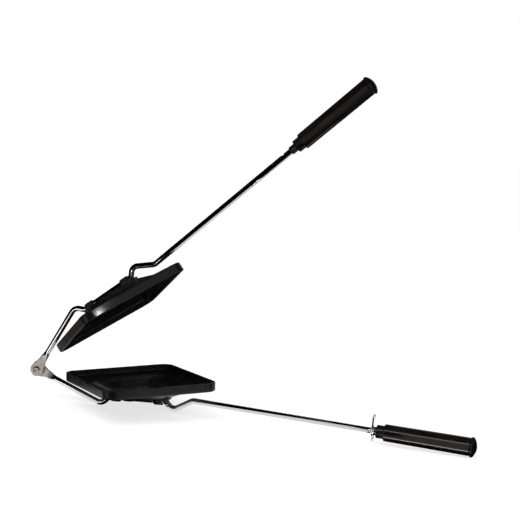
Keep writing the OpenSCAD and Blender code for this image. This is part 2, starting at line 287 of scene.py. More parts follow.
class Workpiece:
    """A mesh under way, with the operators that shape it and the marks its finish reads."""

    def __init__(self) -> None:
        """Starts an empty mesh that can mark rubbed edges."""
        self.bm = bmesh.new()
        self.rub = self.bm.verts.layers.float.new(RUB)

    def rounded_square(self, side: float, radius: float, height: float, segments: int) -> list[BMEdge]:
        """Draws the outline of a square that stands on a corner.

        Args:
            side: Side of the square.
            radius: Radius of its corners.
            height: Height at which it lies.
            segments: Segments of each rounded corner.

        Returns:
            The edges of the outline.
        """
        old_edges = set(self.bm.edges)
        place = Matrix.Translation((0.0, 0.0, height))
        made = bmesh.ops.create_circle(
            self.bm, cap_ends=True, segments=4, radius=side / math.sqrt(2), matrix=place
        )
        self.round_corners(made["verts"], radius, segments)
        outline = [edge for edge in self.bm.edges if edge not in old_edges]
        face = list({face for edge in outline for face in edge.link_faces})
        bmesh.ops.delete(self.bm, geom=face, context="FACES_ONLY")
        return outline

    def round_corners(self, verts: Sequence[BMVert], radius: float, segments: int) -> None:
        """Rounds the corners of a flat face.

        Args:
            verts: The corners.
            radius: Radius of a corner that is square.
            segments: Segments of the arc.
        """
        bmesh.ops.bevel(
            self.bm, geom=list(verts), offset=radius, offset_type="OFFSET", affect="VERTICES",
            segments=segments, profile=0.5, material=-1, clamp_overlap=True,
        )

    def round_edges(
        self, edges: Sequence[BMEdge], radius: float, segments: int = 3, rub: float = 0.0
    ) -> None:
        """Rounds edges and marks how rubbed the rounding is.

        Args:
            edges: The edges to round.
            radius: Radius of the rounding on a square edge.
            segments: Segments of the arc.
            rub: Rub of the rounding, from 0 to 1.
        """
        made = bmesh.ops.bevel(
            self.bm, geom=list(edges), offset=radius, offset_type="OFFSET", affect="EDGES",
            segments=segments, profile=0.5, material=-1, clamp_overlap=True,
        )
        fresh = set(made["faces"])
        for vert in made["verts"]:
            if all(face in fresh for face in vert.link_faces):
                vert[self.rub] = rub

    def bridge(self, first: Sequence[BMEdge], second: Sequence[BMEdge]) -> None:
        """Joins two outlines by a wall.

        Two outlines in one plane would be joined with a twist, so the first one is lifted
        for the moment.

        Args:
            first: The edges of one outline.
            second: The edges of the other.
        """
        verts = list({vert for edge in first for vert in edge.verts})
        lift = Vector((0.0, 0.0, 0.0001))
        bmesh.ops.translate(self.bm, verts=verts, vec=lift)
        bmesh.ops.bridge_loops(self.bm, edges=[*first, *second])
        bmesh.ops.translate(self.bm, verts=verts, vec=-lift)

    def fill(self, outline: Sequence[BMEdge]) -> None:
        """Closes an outline by a flat face."""
        bmesh.ops.edgeloop_fill(self.bm, edges=list(outline))

    def weld(self) -> None:
        """Merges doubled vertices and turns all faces outwards."""
        bmesh.ops.remove_doubles(self.bm, verts=self.bm.verts, dist=WELD)
        bmesh.ops.recalc_face_normals(self.bm, faces=self.bm.faces)

    def move(self, matrix: Matrix) -> "Workpiece":
        """Moves the whole workpiece.

        Args:
            matrix: The move, turn or mirroring.

        Returns:
            The workpiece itself.
        """
        bmesh.ops.transform(self.bm, matrix=matrix, verts=self.bm.verts)
        if matrix.determinant() < 0:
            bmesh.ops.recalc_face_normals(self.bm, faces=self.bm.faces)
        return self

    def mark_local(self, place_of: Callable[[Vector], Vector] = Vector.copy) -> None:
        """Marks each vertex with its place on the piece, which directed patterns follow.

        Args:
            place_of: Gives the place on the piece of a point in its present frame.
        """
        layer = self.bm.verts.layers.float_vector.new(LOCAL)
        for vert in self.bm.verts:
            vert[layer] = place_of(vert.co)

    def combine(self, tool: "Workpiece", cut: Cut) -> None:
        """Welds a tool on, or takes its shape away, and uses the tool up.

        Args:
            tool: The other workpiece, a closed solid.
            cut: What to do with it.
        """
        blank, cutter = self.as_object("blank"), tool.as_object("tool")
        modifier = blank.modifiers.new("combine", "BOOLEAN")
        modifier.solver = "EXACT"
        modifier.operation = cut.value
        modifier.object = cutter
        bpy.context.view_layer.update()
        shown = blank.evaluated_get(bpy.context.evaluated_depsgraph_get())
        self.bm.free()
        self.bm = bmesh.new()
        self.bm.from_mesh(shown.to_mesh())
        self.rub = self.bm.verts.layers.float.get(RUB) or self.bm.verts.layers.float.new(RUB)
        shown.to_mesh_clear()
        tool.bm.free()
        for spent in (blank, cutter):
            mesh = spent.data
            bpy.data.objects.remove(spent)
            bpy.data.meshes.remove(mesh)

    def as_object(self, name: str) -> bpy.types.Object:
        """Copies the mesh into an object of the scene.

        Args:
            name: Name of the object.

        Returns:
            The object.
        """
        mesh = bpy.data.meshes.new(name)
        self.bm.to_mesh(mesh)
        made = bpy.data.objects.new(name, mesh)
        bpy.context.scene.collection.objects.link(made)
        return made

    def circle_at(self, radius: float, height: float) -> list[BMEdge]:
        """Finds a circle round the Z axis.

        Args:
            radius: Radius of the circle.
            height: Height of the circle.

        Returns:
            The edges of the circle.
        """
        def on_circle(vert: BMVert) -> bool:
            """Whether a vertex lies on the circle."""
            near = 1e-6
            return abs(vert.co.xy.length - radius) < near and abs(vert.co.z - height) < near

        return [edge for edge in self.bm.edges if all(on_circle(vert) for vert in edge.verts)]


def turned(corners: Sequence[Corner], segments: int = 64, bored: bool = False) -> Workpiece:
    """Turns a profile round the Z axis and rounds its corners.

    Args:
        corners: The profile, from one end of the axis to the other, or all the way round
            if the piece is bored.
        segments: Segments of the full turn.
        bored: Whether the profile closes on itself away from the axis.

    Returns:
        The turned workpiece.
    """
    piece = Workpiece()
    verts = [piece.bm.verts.new((corner.first, 0.0, corner.second)) for corner in corners]
    ends = verts[1:] + verts[:1] if bored else verts[1:]
    edges = [piece.bm.edges.new(pair) for pair in zip(verts, ends)]
    bmesh.ops.spin(
        piece.bm, geom=[*verts, *edges], cent=(0.0, 0.0, 0.0), axis=AXIS_Z,
        angle=2 * math.pi, steps=segments, use_merge=True, use_duplicate=False,
    )
    piece.weld()
    for corner in corners:
        if corner.rounding > 0:
            circle = piece.circle_at(corner.first, corner.second)
            piece.round_edges(circle, corner.rounding, rub=corner.rub)
    return piece


def plate(corners: Sequence[Corner], thickness: float, segments: int = 8) -> Workpiece:
    """Cuts a plate from its outline, lying on the plane Z = 0.

    Args:
        corners: The outline's corners, in order.
        thickness: Thickness of the plate.
        segments: Segments of each rounded corner.

    Returns:
        The plate.
    """
    piece = Workpiece()
    verts = [piece.bm.verts.new((corner.first, corner.second, 0.0)) for corner in corners]
    piece.bm.faces.new(verts)
    for vert, corner in zip(verts, corners):
        if corner.rounding > 0:
            piece.round_corners([vert], corner.rounding, segments)
    made = bmesh.ops.extrude_face_region(piece.bm, geom=list(piece.bm.faces), use_keep_orig=True)
    lifted = [part for part in made["geom"] if isinstance(part, BMVert)]
    bmesh.ops.translate(piece.bm, verts=lifted, vec=(0.0, 0.0, thickness))
    piece.weld()
    return piece


def block(low: Vector, high: Vector) -> Workpiece:
    """Cuts a block between two corners.

    Args:
        low: Its lowest corner.
        high: Its highest corner.

    Returns:
        The block.
    """
    piece = Workpiece()
    size = high - low
    place = Matrix.Translation((low + high) / 2) @ Matrix.Diagonal((*size, 1.0))
    bmesh.ops.create_cube(piece.bm, size=1.0, matrix=place)
    return piece


def round_bar(radius: float, length: float, place: Matrix, segments: int = 48) -> Workpiece:
    """Cuts a round bar that is centred on its place and lies along its Z axis.

    Args:
        radius: Radius of the bar.
        length: Length of the bar.
        place: Where it lies.
        segments: Segments of its section.

    Returns:
        The bar.
    """
    piece = Workpiece()
    bmesh.ops.create_cone(
        piece.bm, cap_ends=True, segments=segments, radius1=radius, radius2=radius,
        depth=length, matrix=place,
    )
    return piece


def across(x: float, z: float) -> Matrix:
    """Place of a bar that lies along Y through a point of the plane Y = 0."""
    return Matrix.Translation((x, 0.0, z)) @ Matrix.Rotation(math.pi / 2, 4, "X")


@dataclass(frozen=True)
class Handover:
    """What a finished mesh needs to become a piece of the toaster."""

    name: str
    body: str
    slot: Slot
    material: bpy.types.Material
    replaces: tuple[str, ...]
    sharp_angle: float = math.radians(38)

    def deliver(self, piece: Workpiece, place: Matrix) -> bpy.types.Object:
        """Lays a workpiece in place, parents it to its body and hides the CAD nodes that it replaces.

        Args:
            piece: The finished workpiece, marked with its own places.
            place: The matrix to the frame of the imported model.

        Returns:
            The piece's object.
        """
        piece.move(place)
        piece.weld()
        for face in piece.bm.faces:
            face.smooth = True
        made = piece.as_object(self.name)
        piece.bm.free()
        made.data.set_sharp_from_angle(angle=self.sharp_angle)
        made.data.materials.append(self.material)
        evened = made.modifiers.new("even_normals", "WEIGHTED_NORMAL")
        evened.keep_sharp = True
        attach(made, self.body)
        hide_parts(*self.replaces)
        log.info("%s: %d faces on %s", self.name, len(made.data.polygons), self.body)
        return made


class Graph:
    """A node tree under construction."""

    def __init__(self, tree: bpy.types.NodeTree) -> None:
        """Starts on an empty tree."""
        self.tree = tree

    def add(self, kind: str, inputs: Mapping[str | int, Any] | None = None, **settings: Any) -> bpy.types.Node:
        """Adds a node.

        Args:
            kind: The node's type.
            inputs: A socket to link, or a constant, for each input's name or number.
            **settings: The node's own properties.

        Returns:
            The node.
        """
        node = self.tree.nodes.new(kind)
        for name, value in settings.items():
            setattr(node, name, value)
        for name, value in (inputs or {}).items():
            if isinstance(value, bpy.types.NodeSocket):
                self.tree.links.new(value, node.inputs[name])
            else:
                node.inputs[name].default_value = value
        return node

    def attribute(self, name: str) -> bpy.types.Node:
        """Adds a node that reads one of the mesh's marks."""
        return self.add("ShaderNodeAttribute", attribute_name=name)

    def object_place(self) -> bpy.types.NodeSocket:
        """Adds a node that reads the place in the object's frame."""
        return self.add("ShaderNodeTexCoord").outputs["Object"]

    def noise(self, place: Any, scale: Any, detail: float = 2.0, roughness: float = 0.5) -> bpy.types.NodeSocket:
        """Adds a noise texture.

        Args:
            place: Where it is read.
            scale: Cells to the metre.
            detail: Number of finer layers.
            roughness: Share of the finer layers.

        Returns:
            The noise, around 0.5.
        """
        values = {"Vector": place, "Scale": scale, "Detail": detail, "Roughness": roughness}
        return self.add("ShaderNodeTexNoise", values).outputs[0]

    def remap(self, value: Any, low: float, high: float, to_low: Any = 0.0, to_high: Any = 1.0) -> bpy.types.NodeSocket:
        """Maps a range of values smoothly to another.

        Args:
            value: The value to map.
            low: Start of its range.
            high: End of its range.
            to_low: What the start becomes.
            to_high: What the end becomes.

        Returns:
            The mapped value, held inside the new range.
        """
        values = {"Value": value, "From Min": low, "From Max": high, "To Min": to_low, "To Max": to_high}
        return self.add("ShaderNodeMapRange", values, interpolation_type="SMOOTHSTEP").outputs[0]

    def math(self, operation: str, first: Any, second: Any = 0.0, clamp: bool = False) -> bpy.types.NodeSocket:
        """Adds a sum, product or the like of two values.

        Args:
            operation: What to do.
            first: The first value.
            second: The second value.
            clamp: Whether the result stays from 0 to 1.

        Returns:
            The result.
        """
        return self.add("ShaderNodeMath", {0: first, 1: second}, operation=operation, use_clamp=clamp).outputs[0]

    def stretch(self, place: Any, factors: Any) -> bpy.types.NodeSocket:
        """Multiplies a place by a factor along each axis."""
        return self.add("ShaderNodeVectorMath", {0: place, 1: factors}, operation="MULTIPLY").outputs[0]

    def mix(self, share: Any, first: Any, second: Any) -> bpy.types.NodeSocket:
        """Mixes two colours.

        Args:
            share: Share of the second one.
            first: A colour or socket.
            second: A colour or socket.

        Returns:
            The mixed colour.
        """
        def full(colour: Any) -> Any:
            """Gives a plain colour its alpha."""
            return (*colour, 1.0) if isinstance(colour, tuple) else colour

        values = {"Factor_Float": share, "A_Color": full(first), "B_Color": full(second)}
        node = self.add("ShaderNodeMix", data_type="RGBA")
        for socket in node.inputs:
            value = values.get(socket.identifier)
            if isinstance(value, bpy.types.NodeSocket):
                self.tree.links.new(value, socket)
            elif value is not None:
                socket.default_value = value
        return next(socket for socket in node.outputs if socket.identifier == "Result_Color")

    def bump(self, height: Any, distance: float, strength: float = 1.0) -> bpy.types.NodeSocket:
        """Adds a bump.

        Args:
            height: The height, from 0 to 1.
            distance: Height in metres that 1 stands for.
            strength: Share of the bump that is used.

        Returns:
            The bumped normal.
        """
        values = {"Height": height, "Distance": distance, "Strength": strength}
        return self.add("ShaderNodeBump", values).outputs[0]


class Effect(Enum):
    """Shader groups that more than one finish uses."""

    MOTTLE = "mottle"
    SCRATCHES = "scratches"
    WORN_EDGES = "worn_edges"

    def tree(self) -> bpy.types.NodeTree:
        """Finds the group, or builds it the first time.

        Returns:
            The group's node tree.
        """
        builders = {
            Effect.MOTTLE: Effect.build_mottle,
            Effect.SCRATCHES: Effect.build_scratches,
            Effect.WORN_EDGES: Effect.build_worn_edges,
        }
        found = bpy.data.node_groups.get(self.value)
        return found or builders[self](self.value)

    @staticmethod
    def group(name: str, inputs: Mapping[str, str], outputs: Sequence[str]) -> tuple[Graph, Any, Any]:
        """Starts a group.

        Args:
            name: Name of the group.
            inputs: The kind of each input's socket.
            outputs: Names of the outputs, which are all values.

        Returns:
            The graph, the node of its inputs and the node of its outputs.
        """
        tree = bpy.data.node_groups.new(name, "ShaderNodeTree")
        for label, kind in inputs.items():
            tree.interface.new_socket(label, in_out="INPUT", socket_type=kind)
        for label in outputs:
            tree.interface.new_socket(label, in_out="OUTPUT", socket_type="NodeSocketFloat")
        graph = Graph(tree)
        return graph, graph.add("NodeGroupInput").outputs, graph.add("NodeGroupOutput").inputs

    @staticmethod
    def build_mottle(name: str) -> bpy.types.NodeTree:
        """Builds uneven patches in two sizes.

        Args:
            name: Name of the group.

        Returns:
            The group's node tree.
        """
        kinds = {"Vector": "NodeSocketVector", "Scale": "NodeSocketFloat"}
        graph, given, result = Effect.group(name, kinds, ["Value"])
        broad = graph.noise(given["Vector"], given["Scale"], detail=3.0)
        fine_scale = graph.math("MULTIPLY", given["Scale"], 5.3)
        fine = graph.noise(given["Vector"], fine_scale, detail=4.0, roughness=0.6)
        summed = graph.math("ADD", graph.math("MULTIPLY", broad, 0.65), graph.math("MULTIPLY", fine, 0.35))
        graph.tree.links.new(graph.remap(summed, 0.36, 0.64), result["Value"])
        return graph.tree

    @staticmethod
    def build_scratches(name: str) -> bpy.types.NodeTree:
        """Builds fine scratches along the Z axis of the place that it is given.

        Args:
            name: Name of the group.

        Returns:
            The group's node tree.
        """
        kinds = {"Vector": "NodeSocketVector", "Stretch": "NodeSocketVector", "Amount": "NodeSocketFloat"}
        graph, given, result = Effect.group(name, kinds, ["Value"])
        place = graph.stretch(given["Vector"], given["Stretch"])
        lines = graph.noise(place, 1.0, detail=3.0, roughness=0.65)
        patches = graph.noise(given["Vector"], 90.0, detail=1.0)
        thin = graph.remap(lines, 0.56, 0.68)
        spread = graph.remap(patches, 0.4, 0.62)
        value = graph.math("MULTIPLY", graph.math("MULTIPLY", thin, spread), given["Amount"])
        graph.tree.links.new(value, result["Value"])
        return graph.tree

    @staticmethod
    def build_worn_edges(name: str) -> bpy.types.NodeTree:
        """Builds broken wear on the edges that the mesh marks as rubbed.

        Args:
            name: Name of the group.

        Returns:
            The group's node tree.
        """
        kinds = {"Vector": "NodeSocketVector", "Rub": "NodeSocketFloat", "Amount": "NodeSocketFloat"}
        graph, given, result = Effect.group(name, kinds, ["Value"])
        chips = graph.noise(given["Vector"], 620.0, detail=4.0, roughness=0.7)
        broken = graph.remap(chips, 0.44, 0.66)
        patches = graph.remap(graph.noise(given["Vector"], 70.0, detail=1.0), 0.35, 0.6, 0.25, 1.0)
        worn = graph.math("MULTIPLY", graph.math("MULTIPLY", broken, patches), given["Rub"])
        value = graph.math("MULTIPLY", worn, given["Amount"], clamp=True)
        graph.tree.links.new(value, result["Value"])
        return graph.tree


class Finish:
    """A material's graph, with the shader and the shared effects within reach."""

    def __init__(self, name: str) -> None:
        """Starts a material with a shader wired to its output.

        Args:
            name: Name of the material.
        """
        self.material = bpy.data.materials.new(name)
        self.material.use_nodes = True
        self.material.node_tree.nodes.clear()
        self.graph = Graph(self.material.node_tree)
        self.shader = self.graph.add("ShaderNodeBsdfPrincipled")
        self.graph.add("ShaderNodeOutputMaterial", {"Surface": self.shader.outputs[0]})

    def effect(self, effect: Effect, inputs: Mapping[str, Any]) -> bpy.types.NodeSocket:
        """Places a shared effect.

        Args:
            effect: Which one.
            inputs: Its values.

        Returns:
            The effect's value.
        """
        node = self.graph.add("ShaderNodeGroup", node_tree=effect.tree())
        for name, value in inputs.items():
            if isinstance(value, bpy.types.NodeSocket):
                self.graph.tree.links.new(value, node.inputs[name])
            else:
                node.inputs[name].default_value = value
        return node.outputs["Value"]

    def wire(self, **sockets: Any) -> bpy.types.Material:
        """Links or sets the shader's sockets, whose spaces are written as underscores.

        Args:
            **sockets: A socket or a constant for each one.

        Returns:
            The finished material.
        """
        for name, value in sockets.items():
            socket = self.shader.inputs[name.replace("_", " ")]
            if isinstance(value, bpy.types.NodeSocket):
                self.graph.tree.links.new(value, socket)
            else:
                socket.default_value = value
        return self.material


@dataclass(frozen=True)
class NonStickCoating:
    """Satin black coating on cast aluminium, browned on the back and rubbed on the rims."""

    black: Colour = (0.0040, 0.0038, 0.0038)
    grey: Colour = (0.0085, 0.0082, 0.0082)
    browned: Colour = (0.026, 0.0175, 0.013)
    bare: Colour = (0.30, 0.29, 0.28)
    patch_scale: float = 95.0
    peel_scale: float = 1300.0
    speck_scale: float = 2600.0
    browned_from: float = -0.010
    browned_to: float = -0.017
    rib_pitch: float = 0.0021
    rib_from: float = -0.0138
    rib_to: float = -0.0205

    def material(self) -> bpy.types.Material:
        """Builds the material."""
        finish = Finish("non_stick_coating")
        graph = finish.graph
        place = graph.object_place()
        local = graph.attribute(LOCAL).outputs["Vector"]
        along, _, height = graph.add("ShaderNodeSeparateXYZ", {0: local}).outputs
        patches = finish.effect(Effect.MOTTLE, {"Vector": place, "Scale": self.patch_scale})
        baked = graph.math("MULTIPLY", graph.remap(height, self.browned_from, self.browned_to), patches)
        rub = graph.attribute(RUB).outputs["Fac"]
        worn = finish.effect(Effect.WORN_EDGES, {"Vector": place, "Rub": rub, "Amount": 0.25})
        specks = graph.remap(graph.noise(place, self.speck_scale, detail=1.0), 0.66, 0.74)
        coat = graph.mix(patches, self.black, self.grey)
        coat = graph.mix(graph.math("MULTIPLY", baked, 0.7), coat, self.browned)
        coat = graph.mix(graph.math("MULTIPLY", specks, 0.35), coat, (0.05, 0.05, 0.052))
        colour = graph.mix(worn, coat, self.bare)
        peel = graph.noise(place, self.peel_scale, detail=3.0, roughness=0.55)
        streaks = graph.noise(graph.stretch(local, (70.0, 70.0, 1400.0)), 1.0, detail=2.0)
        waves = graph.math("SINE", graph.math("MULTIPLY", along, math.tau / self.rib_pitch))
        below = graph.remap(height, self.rib_from, self.rib_from - 0.0006)
        above = graph.remap(height, self.rib_to, self.rib_to + 0.0006)
        ribs = graph.math("MULTIPLY", waves, graph.math("MULTIPLY", below, above))
        relief = graph.math("ADD", graph.math("MULTIPLY", peel, 0.12), graph.math("MULTIPLY", streaks, 0.5))
        relief = graph.math("ADD", relief, graph.math("MULTIPLY", ribs, 1.6))
        rough = graph.remap(patches, 0.0, 1.0, 0.27, 0.38)
        return finish.wire(
            Base_Color=colour,
            Roughness=graph.math("SUBTRACT", rough, graph.math("MULTIPLY", worn, 0.05)),
            Metallic=graph.math("MULTIPLY", worn, 0.8),
            Normal=graph.bump(relief, distance=0.00006, strength=0.55),
            Specular_IOR_Level=0.34,
        )


@dataclass(frozen=True)
class ChromePlate:
    """Bright chrome on the rods, dulled by hammering and handling round the hinge."""

    bright: Colour = (0.80, 0.81, 0.83)
    dull: Colour = (0.60, 0.57, 0.53)
    hinge_from: float = 0.030
    hinge_to: float = 0.019
    satin_roughness: float = 0.36
    mirror_roughness: float = 0.07

    def material(self) -> bpy.types.Material:
        """Builds the material."""
        finish = Finish("chromed_rod")
        graph = finish.graph
        local = graph.attribute(LOCAL).outputs["Vector"]
        along = graph.add("ShaderNodeSeparateXYZ", {0: local}).outputs[2]
        place = graph.object_place()
        cloud = finish.effect(Effect.MOTTLE, {"Vector": place, "Scale": 160.0})
        marks = finish.effect(
            Effect.SCRATCHES, {"Vector": local, "Stretch": (1500.0, 1500.0, 22.0), "Amount": 0.3}
        )
        ripple = graph.math("MULTIPLY", graph.math("SUBTRACT", cloud, 0.5), 0.004)
        satin = graph.remap(graph.math("ADD", along, ripple), self.hinge_from, self.hinge_to)
        shine = graph.mix(graph.math("MULTIPLY", cloud, 0.2), self.bright, (0.70, 0.70, 0.71))
        shine = graph.mix(graph.math("MULTIPLY", marks, 0.35), shine, (0.55, 0.55, 0.56))
        colour = graph.mix(satin, shine, graph.mix(cloud, self.dull, (0.46, 0.44, 0.41)))
        polished = graph.math("ADD", graph.math("MULTIPLY", marks, 0.16), self.mirror_roughness)
        rough = graph.math("ADD", polished, graph.math("MULTIPLY", satin, self.satin_roughness))
        hammered = graph.math("MULTIPLY", graph.noise(place, 700.0, detail=3.0), satin)
        relief = graph.math("ADD", graph.math("MULTIPLY", marks, 0.03), hammered)
        return finish.wire(
            Base_Color=colour,
            Metallic=graph.remap(satin, 0.0, 1.0, 1.0, 0.6),
            Roughness=rough,
            Normal=graph.bump(relief, distance=0.00008, strength=0.4),
        )


@dataclass(frozen=True)
class BrightSteel:
    """Plain turned steel with fine rings left by the tool."""

    pale: Colour = (0.58, 0.565, 0.54)
    dark: Colour = (0.34, 0.33, 0.31)
    ring_stretch: tuple[float, float, float] = (120.0, 120.0, 9000.0)

    def material(self) -> bpy.types.Material:
        """Builds the material."""
        finish = Finish("bright_steel")
        graph = finish.graph
        local = graph.attribute(LOCAL).outputs["Vector"]
        place = graph.object_place()
        cloud = finish.effect(Effect.MOTTLE, {"Vector": place, "Scale": 420.0})
        rings = finish.effect(
            Effect.SCRATCHES, {"Vector": local, "Stretch": self.ring_stretch, "Amount": 1.0}
        )
        rub = graph.attribute(RUB).outputs["Fac"]
        worn = finish.effect(Effect.WORN_EDGES, {"Vector": place, "Rub": rub, "Amount": 0.8})
        colour = graph.mix(graph.math("MULTIPLY", cloud, 0.6), self.pale, self.dark)
        colour = graph.mix(worn, colour, (0.72, 0.71, 0.69))
        rough = graph.math("ADD", graph.remap(cloud, 0.0, 1.0, 0.26, 0.40), graph.math("MULTIPLY", rings, 0.12))
        relief = graph.math("ADD", rings, graph.math("MULTIPLY", cloud, 0.5))
        return finish.wire(
            Base_Color=colour,
            Metallic=1.0,
            Roughness=rough,
            Normal=graph.bump(relief, distance=0.00003, strength=0.5),
        )


@dataclass(frozen=True)
class DarkSteel:
    """Dark steel: pins, collars, and the nuts and washers inside."""

    # Two plain dark tones, mottled into each other at random.
    dark_grey: Colour = (0.115, 0.108, 0.100)
    darker_grey: Colour = (0.052, 0.045, 0.038)

    def material(self) -> bpy.types.Material:
        """Builds the material."""
        finish = Finish("dulled_steel")
        graph = finish.graph
        cloud = finish.effect(Effect.MOTTLE, {"Vector": graph.object_place(), "Scale": 300.0})
        return finish.wire(
            Base_Color=graph.mix(graph.math("MULTIPLY", cloud, 0.5), self.dark_grey, self.darker_grey),
            Metallic=1.0,
            Roughness=graph.remap(cloud, 0.0, 1.0, 0.3, 0.45),
            Normal=graph.bump(cloud, distance=0.00002, strength=0.4),
        )


@dataclass(frozen=True)
class BlackPhenolic:
    """Glossy moulded phenolic with flow marks and the fine scratches of use."""

    black: Colour = (0.0042, 0.0036, 0.0035)
    flow: Colour = (0.0105, 0.0078, 0.0072)
    scuffed: Colour = (0.045, 0.042, 0.040)

    def material(self) -> bpy.types.Material:
        """Builds the material."""
        finish = Finish("black_phenolic")
        graph = finish.graph
        local = graph.attribute(LOCAL).outputs["Vector"]
        place = graph.object_place()
        streaks = graph.noise(graph.stretch(local, (1.0, 1.0, 0.18)), 210.0, detail=3.0)
        marks = finish.effect(
            Effect.SCRATCHES, {"Vector": local, "Stretch": (1300.0, 1300.0, 40.0), "Amount": 0.4}
        )
        cloud = finish.effect(Effect.MOTTLE, {"Vector": place, "Scale": 120.0})
        rub = graph.attribute(RUB).outputs["Fac"]
        worn = finish.effect(Effect.WORN_EDGES, {"Vector": place, "Rub": rub, "Amount": 0.5})
        colour = graph.mix(graph.remap(streaks, 0.4, 0.66), self.black, self.flow)
        colour = graph.mix(graph.math("MULTIPLY", graph.math("MAXIMUM", marks, worn), 0.5), colour, self.scuffed)
        rough = graph.math("ADD", graph.remap(cloud, 0.0, 1.0, 0.13, 0.20), graph.math("MULTIPLY", marks, 0.18))
        rough = graph.math("ADD", rough, graph.math("MULTIPLY", worn, 0.15))
        swell = graph.noise(place, 260.0, detail=2.0)
        relief = graph.math("SUBTRACT", swell, graph.math("MULTIPLY", marks, 0.05))
        return finish.wire(
            Base_Color=colour,
            Roughness=rough,
            Normal=graph.bump(relief, distance=0.00005, strength=0.2),
            Specular_IOR_Level=0.30,
        )


@dataclass(frozen=True)
class Finishes:
    """The materials of the toaster, built once."""

    coating: bpy.types.Material
    chrome: bpy.types.Material
    steel: bpy.types.Material
    dulled_steel: bpy.types.Material
    phenolic: bpy.types.Material

    @classmethod
    def build(cls) -> "Finishes":
        """Builds every material."""
        return cls(
            coating=NonStickCoating().material(),
            chrome=ChromePlate().material(),
            steel=BrightSteel().material(),
            dulled_steel=DarkSteel().material(),
            phenolic=BlackPhenolic().material(),
        )


@dataclass(frozen=True)
class Tier:
    """One level of the pan's wall: a rounded square, its height and how its edge is rounded."""

    side: float
    corner_radius: float
    height: float
    rounding: float
    rub: float = 0.0


